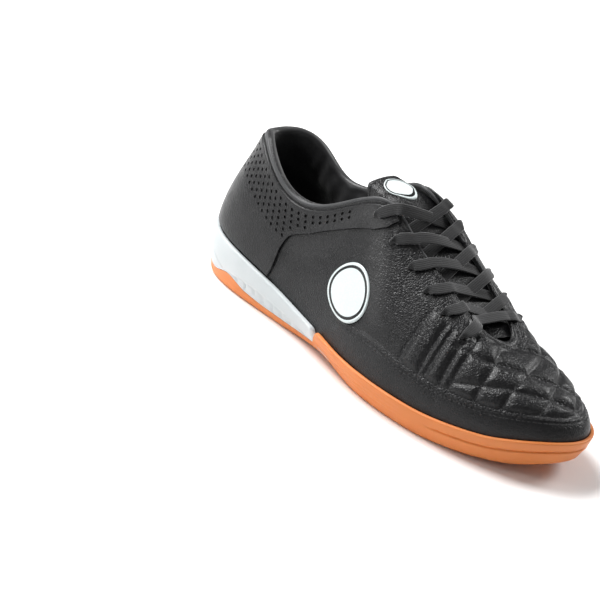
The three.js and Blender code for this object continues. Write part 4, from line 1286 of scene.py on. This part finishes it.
def straight_bar(row, sign):
    """The strap across the lowest two holes."""
    hole, target = EYELETS["inner"][row], EYELETS["outer"][row]
    edge, far_edge = edge_station(hole, target), edge_station(target, hole)
    first = out_of_hole(hole, edge, sign)
    last = out_of_hole(target, far_edge, sign)[::-1]
    (start, start_up, _), (end, end_up, _) = first[-1], last[0]
    outs = (sign * start_up, sign * end_up)
    return first + throat_rows((start, end), (edge, far_edge), outs, BAR_RISE, sign) + last


def lace_route():
    last = len(EYELETS["outer"]) - 1
    chains = []
    for side in ("outer", "inner"):
        rows = []
        for row in range(last):
            rows += lace_leg(side, row, (-1) ** row)
            side = "inner" if side == "outer" else "outer"
        chains.append(rows)
    return chains[0] + straight_bar(last, (-1) ** last) + chains[1][::-1]


def cord_path(rows, spacing):
    """A smooth path through unevenly spaced rows that begin with a point."""
    run = np.linalg.norm(np.diff(rows[:, :3], axis=0), axis=1)
    at = np.concatenate([[0], np.cumsum(np.maximum(run, 0.2))])
    slopes = np.gradient(rows, at, axis=0)
    where = np.linspace(0, at[-1], int(at[-1] / spacing))
    i = np.clip(np.searchsorted(at, where, side="right") - 1, 0, len(rows) - 2)
    step = (at[i + 1] - at[i])[:, None]
    t = (where - at[i])[:, None] / step
    return hermite(rows[i], rows[i + 1], slopes[i] * step, slopes[i + 1] * step, t)


def make_laces():
    rows = lace_route()
    table = np.array([[*point, *up, size] for point, up, size in rows])
    dense = cord_path(table, 1.1)
    path, ups, size = dense[:, :3], unit(dense[:, 3:6]), dense[:, 6]
    count = 26
    x = np.linspace(-1, 1, count)
    height = np.sqrt(np.clip(1 - np.abs(x) ** 5, 0, 1))
    ribs = 1 - 0.3 * (0.5 + 0.5 * np.cos(x * math.pi * 6))
    top = np.column_stack([x, height * ribs])
    ring = np.vstack([top[::-1], (top * (1, -1))[1:-1]])

    def profile(steps):
        width = LACE_WIDTH / 2 * size[steps]
        thick = LACE_THICKNESS / 2 * mix(1.5, 1, np.clip((size[steps] - PINCH) / (1 - PINCH), 0, 1))
        return np.stack([ring[None, :, 0] * width[:, None], ring[None, :, 1] * thick[:, None]], -1)

    skin = Skin()
    sweep(skin, path, ups, profile)
    crossings = [f"lace_cross_{i + 1}" for i in range(len(EYELETS["outer"]) - 1)]
    piece = skin.build("laces", [MATERIAL["lace"]], 0)
    return dress(piece, "lace", "lace_bar", *crossings)


# Sole

SOLE_AROUND = 560
FOAM_GROOVES = [
    [[0, 0.50], [0.05, 0.48], [0.10, 0.38], [0.14, 0.25], [0.17, 0.1]],
    [[0.10, 0.05], [0.125, 0.3], [0.16, 0.44], [0.22, 0.50], [0.30, 0.50], [0.38, 0.42]],
]
RIB_FROM = 0.13
RIB_TO = 0.385
RIB_COUNT = 9


def sole_stations():
    return np.arange(SOLE_AROUND) / SOLE_AROUND * STATIONS


def side_inset(u, height):
    """Inset of the sole's side at a share of its height."""
    tuck = side_tuck(last_at("at", u))
    low = mix(tuck, tuck * 0.35 - 0.4, np.clip(height / 0.5, 0, 1))
    bend = smooth(height, 0, 1)
    straight = mix(tuck * 0.35 - 0.4, 0, np.clip((height - 0.5) / 0.5, 0, 1))
    flat = np.where(height < 0.5, low, straight)
    return mix(flat, tuck * (1 - bend) - 0.4 * np.sin(math.pi * np.clip(height, 0, 1)), 0.5)


def side_point(u, height, proud=0.0):
    ground = ground_at(edge_point(u)[..., 0])
    z = mix(ground, bite_at(u), height)
    return with_height(inset_point(u, side_inset(u, height) - proud), z)


def foot_under(u):
    return bite_at(u) - SINK - CLEAR


def lip_loops(u, depths):
    """Loops of the sole's lip that follow the upper down."""
    loops = []
    for depth in depths:
        z = bite_at(u) - depth
        v = share_at_height(u, z)
        lift = step_at(u) * smooth(v / seam_at(u), 0, 0.22)
        p = lifted(u, v, lift + CURVE_CLEAR)
        loops.append(with_height(p[..., :2], z))
    return loops


def crown_loops(u, top):
    """Rounded crest of the side."""
    loops = []
    for turn in np.radians([0, 30, 60, 90]):
        inset = CREST_IN * (1 - math.cos(turn))
        loops.append(with_height(inset_point(u, inset), top - CREST_DOWN * (1 - math.sin(turn))))
    return loops


def rim_height(u):
    return ground_line(share_at(u)) + GUM_RIM + rim_wave(share_at(u))


def front_share(u):
    return smooth(share_at(u), FOAM_END, FOAM_END + FOAM_END_RUN)


def side_share(u, z):
    ground = ground_at(edge_point(u)[..., 0])
    return (z - ground) / (bite_at(u) - ground)


def crest_share(u):
    """Share of the side's height where the rounded crest begins."""
    return 1 - CREST_DOWN / (bite_at(u) - ground_at(edge_point(u)[:, 0]))


def foam_relief(u, share, height):
    """Grooves of the foam's side: two long lines, and ribs under the second."""
    tall = bite_at(u) - ground_at(edge_point(u)[..., 0])
    cut = np.zeros(np.shape(height))
    for rows in FOAM_GROOVES:
        line = table_curve(rows)(share)
        ends = smooth(share, rows[0][0] - 0.015, rows[0][0] + 0.005) if rows[0][0] > 0 else 1
        ends = ends * (1 - smooth(share, rows[-1][0] - 0.01, rows[-1][0] + 0.01))
        cut += 0.9 * ends * np.exp(-((height - line) * tall / 0.8) ** 2)
    second = table_curve(FOAM_GROOVES[1])(share)
    zone = (share > RIB_FROM - 0.01) & (share < RIB_TO + 0.01)
    under = smooth((second - height) * tall, 0.2, 1.2) * zone
    wave = (share - RIB_FROM) / (RIB_TO - RIB_FROM) * RIB_COUNT
    near = np.abs(wave - np.round(wave)) * (RIB_TO - RIB_FROM) / RIB_COUNT * SHOE["length"]
    cut += under * np.exp(-(near / 1.0) ** 2)
    return -cut - 0.4 * under


def gum_relief(u, share, height):
    """The forefoot's crease line, notches and small ticks, and faint dashes at the waist."""
    tall = bite_at(u) - ground_at(edge_point(u)[..., 0])
    front = smooth(share, 0.74, 0.78)
    crease = 0.6
    below = (crease - height) * tall
    cut = 0.75 * front * np.exp(-(below / 0.65) ** 2)
    cut = cut - 0.25 * front * smooth(below, 0, 0.8)
    edge = edge_point(sole_stations())
    around = np.cumsum(np.linalg.norm(np.diff(edge, axis=0, append=edge[:1]), axis=1))
    pitch = 12.6
    away = np.abs(np.mod(around, pitch) - pitch / 2)
    cut = cut + 0.5 * front * np.exp(-(away / 0.9) ** 2) * np.exp(-((below + 0.7) / 0.9) ** 2)
    for shift in (-1.3, 1.3):
        tick = np.abs(np.mod(around + pitch / 2 + shift, pitch) - pitch / 2)
        cut = cut + 0.4 * front * np.exp(-(tick / 0.45) ** 2) * np.exp(-((height * tall - 3.2) / 1.3) ** 2)
    waist = smooth(share, 0.43, 0.46) * (1 - smooth(share, 0.66, 0.7))
    dash = np.abs(np.mod(around, 4.2) - 2.1)
    for level in (0.42, 0.58, 0.74):
        row = np.exp(-((height - level) * tall / 0.45) ** 2)
        cut = cut + 0.22 * waist * row * smooth(dash, 0.3, 0.8)
    return -cut


def make_midsole():
    u = sole_stations()
    share = share_at(u)
    front = front_share(u)[:, None]
    skin = Skin()
    low_share = side_share(u, rim_height(u) + CLEAR)
    well = with_height(inset_point(u, GUM_WALL + CLEAR + WELL_TAPER), 0)
    well[:, 2] = ground_at(well[:, 0]) + GUM_FLOOR + CLEAR
    wall = inset_point(u, GUM_WALL + CLEAR)
    ledge = with_height(wall, mix(rim_height(u) + CLEAR, foot_under(u) - WELL_DROP, front[:, 0]))
    loops = [well, ledge]
    for t in np.linspace(0, 1, 34):
        height = mix(low_share, crest_share(u), t)
        heel = side_point(u, height, foam_relief(u, share, height) * min(1, 8 * t))
        hidden = with_height(wall, mix(foot_under(u) - WELL_DROP, foot_under(u) - 0.2, t))
        loops.append(mix(heel, hidden, front))
    hidden = with_height(wall, foot_under(u) - 0.1)
    for loop in crown_loops(u, bite_at(u))[1:] + lip_loops(u, [0, SINK / 2]):
        loops.append(mix(loop, hidden, front))
    shelf_inset = mix(FOOT_INSET - CURVE_CLEAR, GUM_WALL + CLEAR, front[:, 0])
    loops.append(with_height(inset_point(u, shelf_inset), foot_under(u)))
    rings = [skin.add(loop) for loop in loops]
    skin.net(rings)
    skin.ladder(rings[0], 12, lambda p: ground_at(p[..., 0]) + GUM_FLOOR + CLEAR, faces_up=False)
    skin.ladder(rings[-1], 4)
    return dress(skin.build("midsole_foam", [MATERIAL["foam"]], 50), "midsole", "midsole")


def make_outsole():
    u = sole_stations()
    share = share_at(u)
    front = front_share(u)[:, None]
    tuck = side_tuck(last_at("at", u))
    skin = Skin()
    loops = []
    for turn in np.radians([0, 30, 60, 90]):
        inset = tuck + EDGE_ROUND * (1 - math.sin(turn))
        p = with_height(inset_point(u, inset), 0)
        p[:, 2] = ground_at(p[:, 0]) + EDGE_ROUND * 0.7 * (1 - math.cos(turn))
        loops.append(p)
    low = side_share(u, loops[-1][:, 2])
    high = mix(side_share(u, rim_height(u)), crest_share(u), front[:, 0])
    for t in np.linspace(0, 1, 36)[1:]:
        height = mix(low, high, t)
        loops.append(side_point(u, height, gum_relief(u, share, height) * min(1, 6 * (1 - t) + 0.05)))
    rim_inset = side_inset(u, side_share(u, rim_height(u)))
    rim = with_height(inset_point(u, mix(rim_inset, GUM_WALL, 0.5)), rim_height(u))
    wall = with_height(inset_point(u, GUM_WALL), rim_height(u))
    for loop in crown_loops(u, bite_at(u))[1:] + lip_loops(u, [0, SINK / 2]):
        loops.append(mix(rim, loop, front))
    shelf = with_height(inset_point(u, FOOT_INSET - CURVE_CLEAR), foot_under(u))
    loops.append(mix(wall, shelf, front))
    inner_wall = with_height(inset_point(u, GUM_WALL), foot_under(u))
    loops.append(mix(wall, inner_wall, front))
    well = with_height(inset_point(u, GUM_WALL + WELL_TAPER), 0)
    well[:, 2] = ground_at(well[:, 0]) + GUM_FLOOR
    loops.append(well)
    rings = [skin.add(loop) for loop in loops]
    skin.net(rings)
    skin.ladder(
        rings[0], 84, lambda p: ground_at(p[..., 0]) + tread_depth(p[..., 0], p[..., 1]), faces_up=False,
    )
    skin.ladder(rings[-1], 10, lambda p: ground_at(p[..., 0]) + GUM_FLOOR)
    return dress(skin.build("outsole_gum", [MATERIAL["gum"]], 45), "outsole", "outsole")


# Tread, in shares of the sole's length and ball width, seen in plan

PIVOT = (0.7, 0.19)
PIVOT_RADIUS = 14.5
FLEX_SHARE = 0.79
ARCH_WEDGE = [(0.36, 0.02), (0.47, -0.03), (0.62, -0.02), (0.6, 0.09), (0.53, 0.14), (0.45, 0.12)]
SIDE_WEDGE = [(0.43, -0.3), (0.49, -0.35), (0.56, -0.37), (0.58, -0.3), (0.54, -0.22), (0.48, -0.22)]
TOE_WINDOWS = [(0.865, -0.2), (0.895, -0.1), (0.915, 0.0), (0.925, 0.1)]


def segment_distance(x, y, a, b):
    a, b = (np.array([x_of(p[0]), y_of(p[1])]) for p in (a, b))
    run = b - a
    t = np.clip(((x - a[0]) * run[0] + (y - a[1]) * run[1]) / (run @ run), 0, 1)
    return np.hypot(x - a[0] - t * run[0], y - a[1] - t * run[1])


def inside_outline(x, y, outline):
    """Distance inward from a convex outline's nearest side, in millimetres."""
    points = [(x_of(share), y_of(side)) for share, side in outline]
    depth = np.full(np.shape(x), 1e3)
    for (ax, ay), (bx, by) in zip(points, points[1:] + points[:1]):
        cross = (bx - ax) * (y - ay) - (by - ay) * (x - ax)
        depth = np.minimum(depth, cross / math.hypot(bx - ax, by - ay))
    return depth


def tread_depth(x, y):
    """How deep the tread's grooves go, by place in plan."""
    def groove(distance, width, depth):
        return depth * (1 - smooth(np.abs(distance), width / 2 - 0.3, width / 2 + 0.3))

    cut = np.zeros(np.shape(x))
    px, py = x_of(PIVOT[0]), y_of(PIVOT[1])
    from_pivot = np.hypot(x - px, y - py)
    inserts = [PIVOT_RADIUS - from_pivot]
    bar = segment_distance(x, y, (FLEX_SHARE - 0.012, -0.2), (FLEX_SHARE, 0.08))
    inserts.append((CHANNEL_WIDTH - 1.6) / 2 - bar)
    inserts += [inside_outline(x, y, ARCH_WEDGE), inside_outline(x, y, SIDE_WEDGE)]
    for share, side in TOE_WINDOWS:
        a, b = (share - 0.028, side - 0.02), (share + 0.004, side + 0.02)
        inserts.append(2.1 - segment_distance(x, y, a, b))
    nearest = np.max(inserts, axis=0)
    recess = TREAD_DEPTH * smooth(nearest, -0.4, 0.4)
    plain = smooth(-nearest, 2.0, 3.2)
    share, side = share_of(x), y / SHOE["ball"] + SIDE_MIDDLE
    forefoot = smooth(share, 0.56, 0.6)
    ripple = np.abs(np.mod(from_pivot + 2, 5.2) - 2.6)
    rays = np.abs(np.mod(np.arctan2(y - py, x - px) * 24 / math.pi, 2) - 1) * from_pivot * math.pi / 24
    field = (share < 0.76) | (share > 0.82)
    cut += forefoot * field * groove(ripple, 1.1, 1.0)
    cut = np.maximum(cut, forefoot * field * groove(rays, 0.9, 0.8) * (from_pivot > 24))
    heel = 1 - smooth(share, 0.3, 0.34)
    heel_x, heel_y = x_of(0.15), y_of(-0.02)
    from_heel_middle = np.hypot((x - heel_x) / 1.35, y - heel_y)
    bands = np.abs(np.mod(from_heel_middle + 1, 5.0) - 2.5)
    cut = np.maximum(cut, heel * groove(bands, 1.0, 1.0))
    bars = np.abs(np.mod(x + 0.35 * y, 9.0) - 4.5)
    cut = np.maximum(cut, heel * groove(bars, 0.9, 0.8) * (from_heel_middle > 14))
    waist = smooth(share, 0.34, 0.37) * (1 - smooth(share, 0.55, 0.58))
    lanes = np.abs(np.mod(y + 0.12 * x, 8.0) - 4.0)
    cut = np.maximum(cut, waist * groove(lanes, 1.0, 0.7))
    flex = segment_distance(x, y, (FLEX_SHARE - 0.03, -0.62), (FLEX_SHARE + 0.022, 0.62))
    channel = CHANNEL_DEPTH * (1 - smooth(flex, CHANNEL_WIDTH / 2 - 0.4, CHANNEL_WIDTH / 2 + 0.4))
    flat_spot = ((share > 0.63) & (share < 0.69)) | ((share > 0.18) & (share < 0.22))
    return np.maximum(np.maximum(cut * plain * mix(1, 0.6, flat_spot), recess), channel * plain)


def make_insole():
    u = sole_stations()
    skin = Skin()
    inset = FOOT_INSET + WALL + INSOLE_CLEAR
    bottom = foot_under(u) + CLEAR
    rows = [(0, 0), (-0.1, 0.35), (0.2, 0.8), (0.9, 1.0)]
    rings = [
        skin.add(with_height(inset_point(u, inset + extra), bottom + INSOLE_THICKNESS * rise))
        for extra, rise in rows
    ]
    skin.net(rings)
    skin.ladder(rings[0], 4, faces_up=False)
    skin.ladder(rings[-1], 24, lambda p: p[..., 2] - 0.6)
    piece = skin.build("insole_foam", [MATERIAL["insole"]], 60)
    return dress(piece, "insole", "insole")


def dress_inserts():
    names = ["pivot_disc", "flex_bar", "arch_wedge", "side_wedge"] + [f"toe_window_{i + 1}" for i in range(4)]
    for name in names:
        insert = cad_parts[name]
        insert.data.materials.clear()
        insert.data.materials.append(MATERIAL["red"])


make_camera()
make_light()
make_floor()
make_upper()
make_piping()
make_panel()
make_stitches()
make_tongue()
make_patches()
make_laces()
make_midsole()
make_outsole()
make_insole()
dress_inserts()
